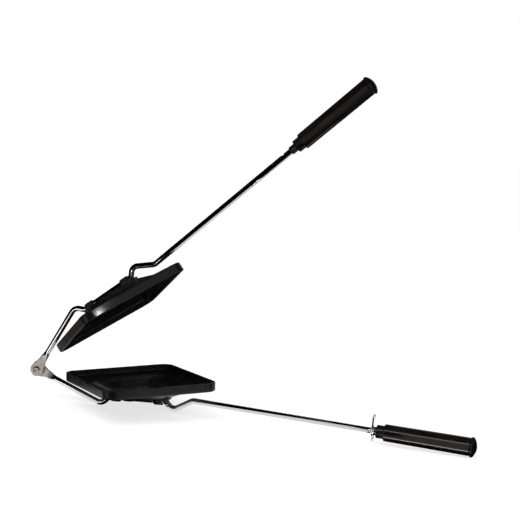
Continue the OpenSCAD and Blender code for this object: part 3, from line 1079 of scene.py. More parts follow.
@dataclass(frozen=True)
class PanCasting:
    """The square cast pan: stepped bowl, spine and lugs on its back, and the rod's bore."""

    layout: Layout
    wall: float = 0.003
    rim_height: float = 0.0097
    rim_gap: float = 0.0002
    base_side: float = 0.084
    base_corner_radius: float = 0.012
    base_depth: float = 0.0132
    lug_wall: float = 0.0016
    lug_foot: float = 0.0065
    lug_sink: float = 0.0007
    spine_height: float = 0.0018
    spine_overrun: float = 0.0018
    spine_sink: float = 0.0013
    corner_segments: int = 10

    def outer_tiers(self) -> list[Tier]:
        """Levels of the outside, from the rim to the flat back."""
        layout = self.layout
        return [
            Tier(layout.pan_side, layout.corner_radius, -self.rim_gap, 0.0009, rub=1.0),
            Tier(layout.pan_side, layout.corner_radius, -self.rim_height, 0.0016, rub=0.35),
            Tier(self.base_side, self.base_corner_radius, -self.base_depth, 0.0030),
            Tier(layout.flat_side, layout.flat_corner_radius, -layout.pan_depth, 0.0022, rub=0.8),
        ]

    def inner_tiers(self) -> list[Tier]:
        """Levels of the inside, from the rim to the flat bottom."""
        layout, wall = self.layout, self.wall
        inner_side = layout.pan_side - 2 * wall
        inner_radius = layout.corner_radius - wall
        return [
            Tier(inner_side, inner_radius, -self.rim_gap, 0.0007, rub=0.9),
            Tier(inner_side, inner_radius, wall - self.rim_height, 0.0016),
            Tier(self.base_side, self.base_corner_radius, wall - self.base_depth, 0.0030),
            Tier(layout.flat_side, layout.flat_corner_radius, wall - layout.pan_depth, 0.0030),
        ]

    def bowl(self) -> Workpiece:
        """Builds the stepped bowl, centred on the origin.

        Returns:
            The bowl, with its edges rounded.
        """
        piece = Workpiece()
        tops, rounded = [], []
        for tiers in (self.outer_tiers(), self.inner_tiers()):
            outlines = [
                piece.rounded_square(tier.side, tier.corner_radius, tier.height, self.corner_segments)
                for tier in tiers
            ]
            for first, second in zip(outlines, outlines[1:]):
                piece.bridge(first, second)
            piece.fill(outlines[-1])
            tops.append(outlines[0])
            rounded += zip(tiers, outlines)
        piece.bridge(*tops)
        bmesh.ops.recalc_face_normals(piece.bm, faces=piece.bm.faces)
        for tier, outline in rounded:
            piece.round_edges(outline, tier.rounding, segments=4, rub=tier.rub)
        return piece

    def lug(self, middle: float) -> Workpiece:
        """Builds a lug: the hull of a ring round the rod and of the lug's foot on the pan.

        Args:
            middle: Place of the lug along the rod.

        Returns:
            The lug, with rounded ends.
        """
        layout = self.layout
        radius = layout.rod_radius + layout.fit + self.lug_wall
        place = Matrix.Translation((middle, 0.0, -layout.run_depth)) @ Matrix.Rotation(math.pi / 2, 4, "Y")
        piece = round_bar(radius, layout.lug_length, place, segments=40)
        foot_height = self.lug_sink - layout.pan_depth
        for x in (middle - layout.lug_length / 2, middle + layout.lug_length / 2):
            for y in (-self.lug_foot, self.lug_foot):
                piece.bm.verts.new((x, y, foot_height))
        hull = bmesh.ops.convex_hull(piece.bm, input=piece.bm.verts, use_existing_faces=False)
        spare = [part for part in hull["geom_interior"] + hull["geom_unused"] if isinstance(part, BMVert)]
        bmesh.ops.delete(piece.bm, geom=spare, context="VERTS")
        bmesh.ops.dissolve_limit(
            piece.bm, angle_limit=math.radians(2), verts=piece.bm.verts, edges=piece.bm.edges
        )
        piece.weld()
        ends = [
            edge for edge in piece.bm.edges
            if any(abs(face.normal.x) > 0.99 for face in edge.link_faces)
            and any(abs(face.normal.x) < 0.5 for face in edge.link_faces)
            and max(vert.co.z for vert in edge.verts) < foot_height - WELD
        ]
        piece.round_edges(ends, 0.0010, segments=3, rub=0.5)
        return piece

    def spine(self) -> Workpiece:
        """Builds the low rib that cradles the rod along the back.

        Returns:
            The rib, with its lower edges rounded.
        """
        layout = self.layout
        reach = layout.flat_reach + self.spine_overrun
        low = Vector((layout.pan_x - reach, -self.lug_foot, -layout.pan_depth - self.spine_height))
        high = Vector((layout.pan_x + reach, self.lug_foot, self.spine_sink - layout.pan_depth))
        piece = block(low, high)
        bmesh.ops.recalc_face_normals(piece.bm, faces=piece.bm.faces)
        upright = [
            edge for edge in piece.bm.edges
            if abs(edge.verts[0].co.z - edge.verts[1].co.z) > self.spine_height
        ]
        piece.round_edges(upright, 0.0030, segments=6)
        bottom = [
            edge for edge in piece.bm.edges
            if all(vert.co.z < low.z + WELD for vert in edge.verts)
        ]
        piece.round_edges(bottom, 0.0007, segments=3, rub=0.7)
        return piece

    def build(self, half: Half, placing: Placing, material: bpy.types.Material) -> bpy.types.Object:
        """Builds the casting and hands it over.

        Args:
            half: The half that it belongs to.
            placing: Where the halves lie.
            material: Its finish.

        Returns:
            The casting's object.
        """
        layout = self.layout
        centre = Matrix.Translation((layout.pan_x, 0.0, 0.0))
        piece = self.bowl().move(centre)
        piece.combine(self.spine(), Cut.WELD_ON)
        for middle in layout.lug_middles:
            piece.combine(self.lug(middle), Cut.WELD_ON)
        along = Matrix.Translation((layout.pan_x, 0.0, -layout.run_depth)) @ Matrix.Rotation(math.pi / 2, 4, "Y")
        piece.combine(round_bar(layout.rod_radius + layout.fit, layout.pan_side, along), Cut.TAKE_AWAY)
        for middle in layout.lug_middles:
            hole = round_bar(
                layout.pin_radius + layout.fit, layout.flat_side, across(middle, -layout.run_depth), 24
            )
            piece.combine(hole, Cut.TAKE_AWAY)
        piece.mark_local(lambda point: point - Vector((layout.pan_x, 0.0, 0.0)))
        handover = Handover(
            name=f"{half.value}_pan_casting",
            body=half.body,
            slot=Slot.COATING,
            material=material,
            replaces=(f"{half.value}_pan",),
            sharp_angle=math.radians(50),
        )
        return handover.deliver(piece, placing.of(half))


@dataclass(frozen=True)
class CrossPins:
    """The pins that lock the rod in the two lugs."""

    layout: Layout
    length: float = 0.0093
    rounding: float = 0.0003

    def build(self, half: Half, placing: Placing, material: bpy.types.Material) -> bpy.types.Object:
        """Builds both pins as one piece and hands it over.

        Args:
            half: The half that they belong to.
            placing: Where the halves lie.
            material: Their finish.

        Returns:
            The object of the pins.
        """
        radius, reach = self.layout.pin_radius, self.length / 2
        profile = [
            Corner(0.0, -reach),
            Corner(radius, -reach, self.rounding, 0.6),
            Corner(radius, reach, self.rounding, 0.6),
            Corner(0.0, reach),
        ]
        pins = []
        for middle in self.layout.lug_middles:
            pin = turned(profile, segments=24)
            pin.mark_local()
            pins.append(pin.move(across(middle, -self.layout.run_depth)))
        both = join(pins)
        handover = Handover(
            name=f"{half.value}_cross_pins",
            body=half.body,
            slot=Slot.STEEL,
            material=material,
            replaces=(f"{half.value}_lug_pins",),
        )
        return handover.deliver(both, placing.of(half))


def join(pieces: Sequence[Workpiece]) -> Workpiece:
    """Puts several workpieces into one, each still a closed solid of its own.

    Args:
        pieces: The workpieces, which are used up.

    Returns:
        The joined workpiece.
    """
    joined = Workpiece()
    mesh = bpy.data.meshes.new("joined")
    for piece in pieces:
        piece.bm.to_mesh(mesh)
        piece.bm.free()
        joined.bm.from_mesh(mesh)
    joined.rub = joined.bm.verts.layers.float.get(RUB)
    bpy.data.meshes.remove(mesh)
    return joined


@dataclass(frozen=True)
class Station:
    """A point of the rod's centre line, the way it heads there and the length so far."""

    point: Vector
    heading: float
    distance: float


class Sweep:
    """A section pushed through straight and bent stretches in the plane Y = 0.

    A heading is the angle from +X towards +Z.
    """

    def __init__(self, start: Vector, heading: float, radius: float, sides: int) -> None:
        """Draws the first section, standing square to its heading.

        Args:
            start: Where the centre line starts.
            heading: The way it heads.
            radius: Radius of the section.
            sides: Number of the section's sides.
        """
        self.piece = Workpiece()
        self.turn = self.piece.bm.verts.layers.float.new("turn")
        made = bmesh.ops.create_circle(self.piece.bm, cap_ends=False, segments=sides, radius=radius)
        for vert in made["verts"]:
            vert[self.turn] = math.atan2(vert.co.y, vert.co.x)
        place = Matrix.Translation(start) @ Matrix.Rotation(math.pi / 2 - heading, 4, "Y")
        bmesh.ops.transform(self.piece.bm, matrix=place, verts=made["verts"])
        self.rim = list(self.piece.bm.edges)
        self.stations = [Station(start, heading, 0.0)]
        self.piece.fill(self.rim)

    @property
    def here(self) -> Station:
        """The last station."""
        return self.stations[-1]

    @property
    def rim_verts(self) -> list[BMVert]:
        """The vertices of the last section."""
        return list({vert for edge in self.rim for vert in edge.verts})

    def shape(self, half_width: float, half_thickness: float, offset: float, squareness: float) -> None:
        """Presses the last section into a flattened shape.

        Args:
            half_width: Half its width, in the plane Y = 0.
            half_thickness: Half its thickness, along Y.
            offset: Distance of its middle from the plane Y = 0.
            squareness: Power of the section's curve, 1 for an ellipse and less for a plate.
        """
        side = Vector((math.sin(self.here.heading), 0.0, -math.cos(self.here.heading)))

        def bulge(value: float) -> float:
            """Raises a cosine or sine to the section's power and keeps its sign."""
            return math.copysign(abs(value) ** squareness, value)

        for vert in self.rim_verts:
            turn = vert[self.turn]
            sideways = half_width * bulge(math.cos(turn)) * side
            vert.co = self.here.point + sideways + (offset + half_thickness * bulge(math.sin(turn))) * AXIS_Y

    def push(self, length: float, radius: float | None = None) -> None:
        """Pushes the section straight on.

        Args:
            length: How far.
            radius: New radius of a round section, if it changes.
        """
        made = bmesh.ops.extrude_edge_only(self.piece.bm, edges=self.rim)
        verts = {part for part in made["geom"] if isinstance(part, BMVert)}
        self.rim = [
            part for part in made["geom"]
            if isinstance(part, BMEdge) and all(vert in verts for vert in part.verts)
        ]
        ahead = Vector((math.cos(self.here.heading), 0.0, math.sin(self.here.heading)))
        bmesh.ops.translate(self.piece.bm, verts=list(verts), vec=length * ahead)
        last = self.here
        self.stations.append(Station(last.point + length * ahead, last.heading, last.distance + length))
        if radius is not None:
            self.shape(radius, radius, 0.0, 1.0)

    def bend(self, heading: float, radius: float, step: float) -> None:
        """Bends the rod to a new heading.

        Args:
            heading: The new heading.
            radius: Radius of the bend's centre line.
            step: Largest turn between two sections.
        """
        turn = heading - self.here.heading
        way = math.copysign(1.0, turn)
        start = self.here
        inwards = way * Vector((-math.sin(start.heading), 0.0, math.cos(start.heading)))
        centre = start.point + radius * inwards
        steps = math.ceil(abs(turn) / step)
        made = bmesh.ops.spin(
            self.piece.bm, geom=[*self.rim_verts, *self.rim], cent=centre, axis=-AXIS_Y,
            angle=turn, steps=steps, use_merge=False, use_duplicate=False,
        )
        self.rim = [part for part in made["geom_last"] if isinstance(part, BMEdge)]
        for index in range(1, steps + 1):
            part_turn = turn * index / steps
            swung = Matrix.Rotation(-part_turn, 3, "Y") @ (start.point - centre)
            length = radius * abs(part_turn)
            self.stations.append(
                Station(centre + swung, start.heading + part_turn, start.distance + length)
            )

    def close(self) -> Workpiece:
        """Closes the last section.

        Returns:
            The swept workpiece.
        """
        self.piece.fill(self.rim)
        self.piece.weld()
        return self.piece

    def straightened(self, point: Vector) -> Vector:
        """Where a point would lie if the rod were straightened along Z.

        Args:
            point: A point on the rod.

        Returns:
            Its two offsets from the centre line and its distance along it.
        """
        def away(index: int) -> tuple[float, float]:
            """Distance from a stretch of the centre line, and the share of it gone."""
            first, second = self.stations[index].point, self.stations[index + 1].point
            run = second - first
            share = max(0.0, min(1.0, (point - first).dot(run) / run.length_squared))
            return (point - first - share * run).length, share

        index = min(range(len(self.stations) - 1), key=lambda number: away(number)[0])
        share = away(index)[1]
        first, second = self.stations[index], self.stations[index + 1]
        middle = first.point.lerp(second.point, share)
        heading = first.heading + share * (second.heading - first.heading)
        side = Vector((math.sin(heading), 0.0, -math.cos(heading)))
        along = first.distance + share * (second.distance - first.distance)
        return Vector(((point - middle).dot(side), point.y, along))


@dataclass(frozen=True)
class Eye:
    """The flattened end of a rod that takes the hinge rivet."""

    middle_y: float
    square_cut: bool
    radius: float = 0.0074
    half_thickness: float = 0.0014
    flat_run: float = 0.012
    round_run: float = 0.024
    waist: float = 0.0042
    cut_trim: float = 0.0003
    cut_corner: float = 0.0016
    squareness: float = 0.22

    def half_width(self, distance: float) -> float:
        """Half the eye's width at a distance from the rivet along the rod.

        Args:
            distance: The distance, negative past the rivet.

        Returns:
            Half the width there.
        """
        if self.square_cut:
            flat = self.radius - self.cut_trim
            corner = self.radius + self.cut_corner
            shoulder = self.radius / 2
            level = min(flat, math.sqrt(max(0.0, corner ** 2 - distance ** 2))) if distance < 0 else flat
            share = max(0.0, (distance - shoulder) / (self.flat_run - shoulder))
            return level + (self.waist - level) * min(1.0, share)
        slope = self.tangent_angle()
        if distance <= self.radius * math.sin(slope):
            return math.sqrt(max(0.0, self.radius ** 2 - distance ** 2))
        return self.waist + (self.flat_run - distance) * math.tan(slope)

    def tangent_angle(self) -> float:
        """Slope of the straight edge that runs from the round eye to the waist."""
        reach = math.hypot(self.flat_run, self.waist)
        return math.atan2(self.flat_run, self.waist) - math.acos(self.radius / reach)

    def distances(self) -> list[float]:
        """Where the sections of the flattened stretch stand."""
        if self.square_cut:
            tip = -(self.radius - self.cut_trim)
            near = [tip, tip + 0.0003, tip + 0.0006, tip + 0.0009, tip + 0.0012]
        else:
            steps = 14
            near = [-self.radius * math.cos(math.radians(4 + 86 * index / steps)) for index in range(steps)]
        middle_steps = 6
        middle = [self.flat_run * index / middle_steps for index in range(middle_steps + 1)]
        far_steps = 9
        far = [
            self.flat_run + (self.round_run - self.flat_run) * index / far_steps
            for index in range(1, far_steps + 1)
        ]
        return near + middle + far

    def section(self, distance: float, rod_radius: float) -> tuple[float, float, float, float]:
        """Section of the rod at a distance from the rivet.

        Args:
            distance: The distance.
            rod_radius: Radius of the round rod.

        Returns:
            Half width, half thickness, offset along Y and squareness.
        """
        share = max(0.0, min(1.0, (distance - self.flat_run) / (self.round_run - self.flat_run)))
        share = share * share * (3 - 2 * share)
        width = self.half_width(min(distance, self.flat_run))

        def blend(first: float, second: float) -> float:
            """Value between the flattened and the round rod."""
            return first + (second - first) * share

        return (
            blend(width, rod_radius),
            blend(self.half_thickness, rod_radius),
            blend(self.middle_y, 0.0),
            blend(self.squareness, 1.0),
        )


@dataclass(frozen=True)
class BentRod:
    """The chromed rod, from its flattened eye to the tang inside the grip."""

    layout: Layout
    eye: Eye
    rivet_hole_radius: float = 0.00255
    bead_back: float = 0.0060
    bead_length: float = 0.0012
    bead_radius: float = 0.0039
    notch_back: float = 0.016
    notch_length: float = 0.0034
    notch_depth: float = 0.0011
    shoulder_run: float = 0.081
    tang_length: float = 0.008
    tang_radius: float = 0.0025
    sides: int = 36
    bend_step: float = math.radians(5)

    def sweep(self) -> Sweep:
        """Pushes the rod's section from the eye to the end of the shank.

        Returns:
            The sweep, still open at its last section.
        """
        layout, eye = self.layout, self.eye
        corners = layout.corners
        radii = [layout.arm_bend_radius] + [layout.lug_bend_radius] * 2 + [layout.dip_bend_radius] * 2
        points = [*corners, layout.neck]
        headings = [math.atan2(corners[0].z, corners[0].x)]
        headings += [
            math.atan2(second.z - first.z, second.x - first.x) for first, second in zip(points, points[1:])
        ]
        ahead = Vector((math.cos(headings[0]), 0.0, math.sin(headings[0])))
        places = eye.distances()
        sweep = Sweep(places[0] * ahead, headings[0], layout.rod_radius, self.sides)
        sweep.shape(*eye.section(places[0], layout.rod_radius))
        for first, second in zip(places, places[1:]):
            sweep.push(second - first)
            sweep.shape(*eye.section(second, layout.rod_radius))
        for corner, radius, heading in zip(corners, radii, headings[1:]):
            turn = heading - sweep.here.heading
            cut_back = radius * math.tan(abs(turn) / 2)
            sweep.push((corner - sweep.here.point).length - cut_back)
            sweep.bend(heading, radius, self.bend_step)
        return sweep

    def add_bead(self, sweep: Sweep) -> None:
        """Swells the rod into the bead that keeps the lock hook in place.

        Args:
            sweep: The sweep, on the shank.
        """
        layout = self.layout
        rise = self.bead_radius - layout.rod_radius
        sweep.push((layout.neck - sweep.here.point).length - self.bead_back, layout.rod_radius)
        steps = 6
        for index in range(1, steps + 1):
            height = math.sin(math.pi * index / steps) ** 0.5 if index < steps else 0.0
            sweep.push(self.bead_length / steps, layout.rod_radius + rise * height)

    def build(self, half: Half, placing: Placing, material: bpy.types.Material) -> bpy.types.Object:
        """Builds the rod and hands it over.

        Args:
            half: The half that it belongs to.
            placing: Where the halves lie.
            material: Its finish.

        Returns:
            The rod's object.
        """
        layout = self.layout
        sweep = self.sweep()
        if half is Half.LOWER:
            self.add_bead(sweep)
        to_neck = (layout.neck - sweep.here.point).length
        sweep.push(to_neck + self.shoulder_run, layout.rod_radius)
        sweep.push(0.0001, self.tang_radius)
        sweep.push(self.tang_length, self.tang_radius)
        piece = sweep.close()
        hinge_hole = round_bar(self.rivet_hole_radius, layout.rod_radius * 8, across(0.0, 0.0))
        piece.combine(hinge_hole, Cut.TAKE_AWAY)
        for middle in layout.lug_middles:
            hole = round_bar(
                layout.pin_radius + layout.fit, layout.rod_radius * 4, across(middle, -layout.run_depth), 24
            )
            piece.combine(hole, Cut.TAKE_AWAY)
        if half is Half.UPPER:
            piece.combine(self.notch(), Cut.TAKE_AWAY)
        piece.mark_local(sweep.straightened)
        handover = Handover(
            name=f"{half.value}_bent_rod",
            body=half.body,
            slot=Slot.CHROME,
            material=material,
            replaces=(f"{half.value}_rod",),
        )
        return handover.deliver(piece, placing.of(half))

    def notch(self) -> Workpiece:
        """Builds the cutter for the notch in which the lock hook sits.

        Returns:
            The cutter, in the half's frame.
        """
        radius = self.layout.rod_radius
        low = Vector((radius - self.notch_depth, -2 * radius, -self.notch_length / 2))
        high = Vector((2 * radius, 2 * radius, self.notch_length / 2))
        cutter = block(low, high)
        floor = [
            edge for edge in cutter.bm.edges
            if all(vert.co.x < low.x + WELD for vert in edge.verts)
            and abs(edge.verts[0].co.y - edge.verts[1].co.y) > radius
        ]
        cutter.round_edges(floor, 0.0005)
        return cutter.move(self.layout.on_shank(-self.notch_back))


@dataclass(frozen=True)
class GripSet:
    """The pieces on the end of a rod: collar, fluted ferrule, grip and end cap."""

    layout: Layout
    collar_length: float
    collar_radius: float = 0.0043
    ferrule_length: float = 0.008
    ferrule_radius: float = 0.0068
    flutes: int = 12
    flute_radius: float = 0.0011
    grip_length: float = 0.087
    grip_front_radius: float = 0.0087
    grip_end_radius: float = 0.0092
    counterbore_radius: float = 0.0062
    counterbore_depth: float = 0.014
    plug_length: float = 0.0045
    cap_radius: float = 0.0102
    cap_length: float = 0.0065
    cap_dome_radius: float = 0.015

    @property
    def cap_front(self) -> float:
        """Distance from the ferrule's front face to the end cap."""
        return self.ferrule_length + self.grip_length

    @property
    def bore(self) -> float:
        """Radius of the hole for the rod."""
        return self.layout.rod_radius + self.layout.fit

    def collar(self) -> Workpiece:
        """Turns the stop collar, which ends at the ferrule."""
        length, radius = self.collar_length, self.collar_radius
        return turned(
            [
                Corner(self.bore, -length),
                Corner(radius, -length, 0.0004, 0.8),
                Corner(radius, 0.0, 0.0004, 0.8),
                Corner(self.bore, 0.0),
            ],
            bored=True,
        )

    def ferrule(self) -> Workpiece:
        """Builds the fluted ferrule.

        Returns:
            The ferrule, bored for the rod.
        """
        piece = Workpiece()
        per_flute = 16
        segments = self.flutes * per_flute
        levels = (0.0, self.ferrule_length)
        outer, inner = [], []
        for level in levels:
            place = Matrix.Translation((0.0, 0.0, level))
            for radius, kept in ((self.ferrule_radius, outer), (self.bore, inner)):
                old = set(piece.bm.edges)
                made = bmesh.ops.create_circle(
                    piece.bm, cap_ends=False, segments=segments, radius=radius, matrix=place
                )
                kept.append([edge for edge in piece.bm.edges if edge not in old])
                if kept is outer:
                    self.press_flutes(made["verts"])
        piece.bridge(*outer)
        piece.bridge(*inner)
        for first, second in zip(outer, inner):
            piece.bridge(first, second)
        piece.weld()
        piece.round_edges(outer[0], 0.0006, segments=3, rub=0.8)
        return piece

    def press_flutes(self, verts: Iterable[BMVert]) -> None:
        """Presses round flutes into a circle.

        Args:
            verts: The vertices of the circle.
        """
        pitch = 2 * math.pi / self.flutes
        for vert in verts:
            angle = math.atan2(vert.co.y, vert.co.x)
            off = (angle % pitch) - pitch / 2
            sideways = self.ferrule_radius * math.sin(off)
            if abs(sideways) < self.flute_radius:
                chord = math.sqrt(self.flute_radius ** 2 - sideways ** 2)
                distance = self.ferrule_radius * math.cos(off) - chord
                vert.co.x = distance * math.cos(angle)
                vert.co.y = distance * math.sin(angle)

    def grip(self) -> Workpiece:
        """Turns the grip, with its bore for the rod and its counterbore for the nut."""
        front, end = self.ferrule_length, self.cap_front
        step = end - self.counterbore_depth
        return turned(
            [
                Corner(self.bore, front),
                Corner(self.grip_front_radius, front, 0.0010, 0.8),
                Corner(self.grip_end_radius, end, 0.0008, 0.5),
                Corner(self.counterbore_radius, end),
                Corner(self.counterbore_radius, step),
                Corner(self.bore, step),
            ],
            segments=96,
            bored=True,
        )

    def cap(self) -> Workpiece:
        """Turns the end cap: a plug inside the grip, a bead and a domed end.

        Returns:
            The end cap.
        """
        front = self.cap_front
        centre = front + self.cap_length - self.cap_dome_radius
        plug = self.counterbore_radius - self.layout.fit
        edge_angle = math.asin(self.cap_radius / self.cap_dome_radius)
        steps = 8
        dome = [
            Corner(
                self.cap_dome_radius * math.sin(edge_angle * index / steps),
                centre + self.cap_dome_radius * math.cos(edge_angle * index / steps),
            )
            for index in range(steps - 1, -1, -1)
        ]
        edge = Corner(self.cap_radius, centre + self.cap_dome_radius * math.cos(edge_angle), 0.0011, 0.7)
        return turned(
            [
                Corner(0.0, front - self.plug_length),
                Corner(plug, front - self.plug_length, 0.0004),
                Corner(plug, front),
                Corner(self.cap_radius, front, 0.0012, 0.3),
                edge,
                *dome,
            ],
            segments=96,
        )

    def build(self, half: Half, placing: Placing, finishes: Finishes) -> list[bpy.types.Object]:
        """Builds the set and hands it over.

        Args:
            half: The half that it belongs to.
            placing: Where the halves lie.
            finishes: The materials.

        Returns:
            The objects of the set.
        """
        parts = [
            ("stop_collar", "collar", self.collar(), Slot.STEEL, finishes.dulled_steel),
            ("fluted_ferrule", "ferrule", self.ferrule(), Slot.PHENOLIC, finishes.phenolic),
            ("grip_body", "grip", self.grip(), Slot.PHENOLIC, finishes.phenolic),
            ("grip_cap", "end_cap", self.cap(), Slot.PHENOLIC, finishes.phenolic),
        ]
        place = placing.of(half) @ self.layout.on_shank(0.0)
        made = []
        for name, node, piece, slot, material in parts:
            piece.mark_local()
            handover = Handover(
                name=f"{half.value}_{name}",
                body=half.body,
                slot=slot,
                material=material,
                replaces=(f"{half.value}_{node}",),
            )
            made.append(handover.deliver(piece, place))
        for node in ("tang_washer", "tang_nut"):
            dress_node(f"{half.value}_{node}", finishes.dulled_steel)
        return made


def dress_node(name: str, material: bpy.types.Material) -> None:
    """Gives a CAD node that keeps its shape a material of its own.

    Args:
        name: Name of the node.
        material: The material.
    """
    node = frame["nodes"][name]
    node.data.materials.clear()
    node.data.materials.append(material)
    log.info("%s: kept as packed, with %s", name, material.name)


@dataclass(frozen=True)
class HingeSet:
    """The rivet through both eyes and the washer between them, turned along -Y."""

    head_radius: float = 0.0037
    head_height: float = 0.0015
    shaft_radius: float = 0.0025
    front_head: float = 0.0037
    rear_head: float = -0.0031
    dimple_radius: float = 0.0014
    dimple_depth: float = 0.0012
    washer_radius: float = 0.0066
    washer_half: float = 0.0003
    washer_bore: float = 0.00255

    def rivet(self) -> Workpiece:
        """Turns the rivet, with a domed head at each end and a dimple in the front one."""
        radius, shaft = self.head_radius, self.shaft_radius
        top = self.front_head + self.head_height
        bottom = self.rear_head - self.head_height
        crown = 0.72 * radius
        return turned(
            [
                Corner(0.0, bottom),
                Corner(crown, bottom, 0.0007, 0.5),
                Corner(radius, self.rear_head - 0.45 * self.head_height, 0.0003, 0.4),
                Corner(radius, self.rear_head),
                Corner(shaft, self.rear_head),
                Corner(shaft, self.front_head),
                Corner(radius, self.front_head),
                Corner(radius, self.front_head + 0.45 * self.head_height, 0.0003, 0.4),
                Corner(crown, top, 0.0005, 0.9),
                Corner(self.dimple_radius, top, 0.0003, 0.6),
                Corner(0.75 * self.dimple_radius, top - self.dimple_depth, 0.0003),
                Corner(0.0, top - self.dimple_depth),
            ],
            segments=48,
        )

    def washer(self) -> Workpiece:
        """Turns the washer."""
        half = self.washer_half
        return turned(
            [
                Corner(self.washer_bore, -half),
                Corner(self.washer_radius, -half, 0.0001),
                Corner(self.washer_radius, half, 0.0001),
                Corner(self.washer_bore, half),
            ],
            bored=True,
        )

    def build(self, placing: Placing, material: bpy.types.Material) -> list[bpy.types.Object]:
        """Builds the rivet and the washer and hands them over.

        Args:
            placing: Where the halves lie.
            material: Their finish.

        Returns:
            The two objects.
        """
        made = []
        for name, piece in (("hinge_rivet", self.rivet()), ("hinge_washer", self.washer())):
            piece.mark_local()
            piece.move(across(0.0, 0.0))
            handover = Handover(
                name=f"{name}_turned",
                body=Half.LOWER.body,
                slot=Slot.STEEL,
                material=material,
                replaces=(name,),
            )
            made.append(handover.deliver(piece, placing.of(Half.LOWER)))
        return made


@dataclass(frozen=True)
class LockHook:
    """The flat hook on the lower rod that drops into the notch of the upper one.

    Its outline has its first coordinate up from the rod and its second along Y.
    """

    layout: Layout
    back: float = 0.0045
    thickness: float = 0.0018
    hub_radius: float = 0.0056
    rise: float = 0.016
    arm_width: float = 0.0024
    bar_width: float = 0.0026
    tip: float = 0.0054
    lip_drop: float = 0.0012
    lip_width: float = 0.0012
    tab_length: float = 0.010
    tab_half_width: float = 0.0024
    corner_radius: float = 0.0012
    edge_radius: float = 0.0003

    def outline(self) -> list[Corner]:
        """Outline of the arm, the bar over the upper rod and the lip at its tip."""
        back, inner = -self.hub_radius, self.arm_width - self.hub_radius
        under_bar = self.rise - self.bar_width
        under_lip = under_bar - self.lip_drop
        return [
            Corner(0.0, back),
            Corner(self.rise, back, self.corner_radius),
            Corner(self.rise, self.tip, self.corner_radius),
            Corner(under_lip, self.tip, 0.0004),
            Corner(under_lip, self.tip - self.lip_width, 0.0004),
            Corner(under_bar, self.tip - self.lip_width),
            Corner(under_bar, inner, 0.0008),
            Corner(0.0, inner),
        ]

    def tab(self) -> list[Corner]:
        """Outline of the finger tab below the rod."""
        width, rounding = self.tab_half_width, 0.95 * self.tab_half_width
        return [
            Corner(0.0, -width),
            Corner(-self.tab_length, -width, rounding),
            Corner(-self.tab_length, width, rounding),
            Corner(0.0, width),
        ]

    def build(self, placing: Placing, material: bpy.types.Material) -> bpy.types.Object:
        """Builds the hook and hands it over.

        Args:
            placing: Where the halves lie.
            material: Its finish.

        Returns:
            The hook's object.
        """
        lift = Matrix.Translation((0.0, 0.0, self.thickness / 2))
        piece = round_bar(self.hub_radius, self.thickness, lift)
        piece.combine(plate(self.outline(), self.thickness), Cut.WELD_ON)
        piece.combine(plate(self.tab(), self.thickness), Cut.WELD_ON)
        bmesh.ops.dissolve_limit(
            piece.bm, angle_limit=math.radians(1), verts=piece.bm.verts, edges=piece.bm.edges
        )
        square = [edge for edge in piece.bm.edges if abs(edge.calc_face_angle(0.0) - math.pi / 2) < 0.05]
        rim = [edge for edge in square if abs(edge.verts[0].co.z - edge.verts[1].co.z) < WELD]
        piece.round_edges(rim, self.edge_radius, segments=2, rub=0.6)
        bore = round_bar(self.layout.rod_radius + self.layout.fit, 4 * self.thickness, Matrix.Identity(4))
        piece.combine(bore, Cut.TAKE_AWAY)
        shift = Vector((0.0, 0.0, 1.0))
        piece.mark_local(lambda point: point + shift)
        handover = Handover(
            name="lock_hook_plate",
            body="lock_hook",
            slot=Slot.CHROME,
            material=material,
            replaces=("lock_hook",),
        )
        place = placing.of(Half.LOWER) @ self.layout.on_shank(-self.back) @ Matrix.Scale(-1, 4, AXIS_X)
        return handover.deliver(piece, place)


def show_to_gloss(
    name: str, bm: bmesh.types.BMesh, radiance: float = 0.0, tint: Colour = (1.0, 1.0, 1.0), sampled: bool = False
) -> bpy.types.Object:
    """Makes a mesh a glowing or black card that only glossy rays meet.

    Args:
        name: Name of the card.
        bm: Its mesh, which is used up.
        radiance: Its brightness, where 1 is white.
        tint: Its colour.
        sampled: Whether it is sampled as a lamp, which keeps the glint of a small card clean.

    Returns:
        The card.
    """
    material, graph = plain_material(name)
    glow = graph.add("ShaderNodeEmission", {"Color": (*tint, 1.0), "Strength": radiance})
    graph.add("ShaderNodeOutputMaterial", {"Surface": glow.outputs[0]})
    material.cycles.emission_sampling = "AUTO" if sampled else "NONE"
    card = stage_mesh(name, bm, material)
    card.visible_camera = False
    card.visible_diffuse = False
    card.visible_shadow = False
    card.visible_transmission = False
    return card


@dataclass(frozen=True)
class RoundCard:
    """A card bent round the X axis, from one elevation over the front to another.

    An elevation may be counted on over the top and down behind.
    """

    name: str
    low: float
    high: float
    left: float
    right: float
    radius: float
    radiance: float = 0.0
    tint: Colour = (1.0, 1.0, 1.0)

    def build(self) -> bpy.types.Object:
        """Bends the card."""
        bm = bmesh.new()
        ends = [bm.verts.new((x, -self.radius, 0.0)) for x in (self.left, self.right)]
        edge = bm.edges.new(ends)
        bmesh.ops.transform(bm, matrix=Matrix.Rotation(-math.radians(self.low), 4, "X"), verts=ends)
        turn = self.high - self.low
        bmesh.ops.spin(
            bm, geom=[*ends, edge], cent=(0.0, 0.0, 0.0), axis=-AXIS_X, angle=math.radians(turn),
            steps=math.ceil(turn / 10), use_merge=turn == 360, use_duplicate=False,
        )
        return show_to_gloss(self.name, bm, self.radiance, self.tint)


@dataclass(frozen=True)
class EndCard:
    """A round card that closes the tube of black card at one end."""

    name: str
    x: float
    radius: float

    def build(self) -> bpy.types.Object:
        """Cuts the card."""
        bm = bmesh.new()
        place = Matrix.Translation((self.x, 0.0, 0.0)) @ Matrix.Rotation(math.pi / 2, 4, "Y")
        bmesh.ops.create_circle(bm, cap_ends=True, segments=32, radius=self.radius, matrix=place)
        return show_to_gloss(self.name, bm)


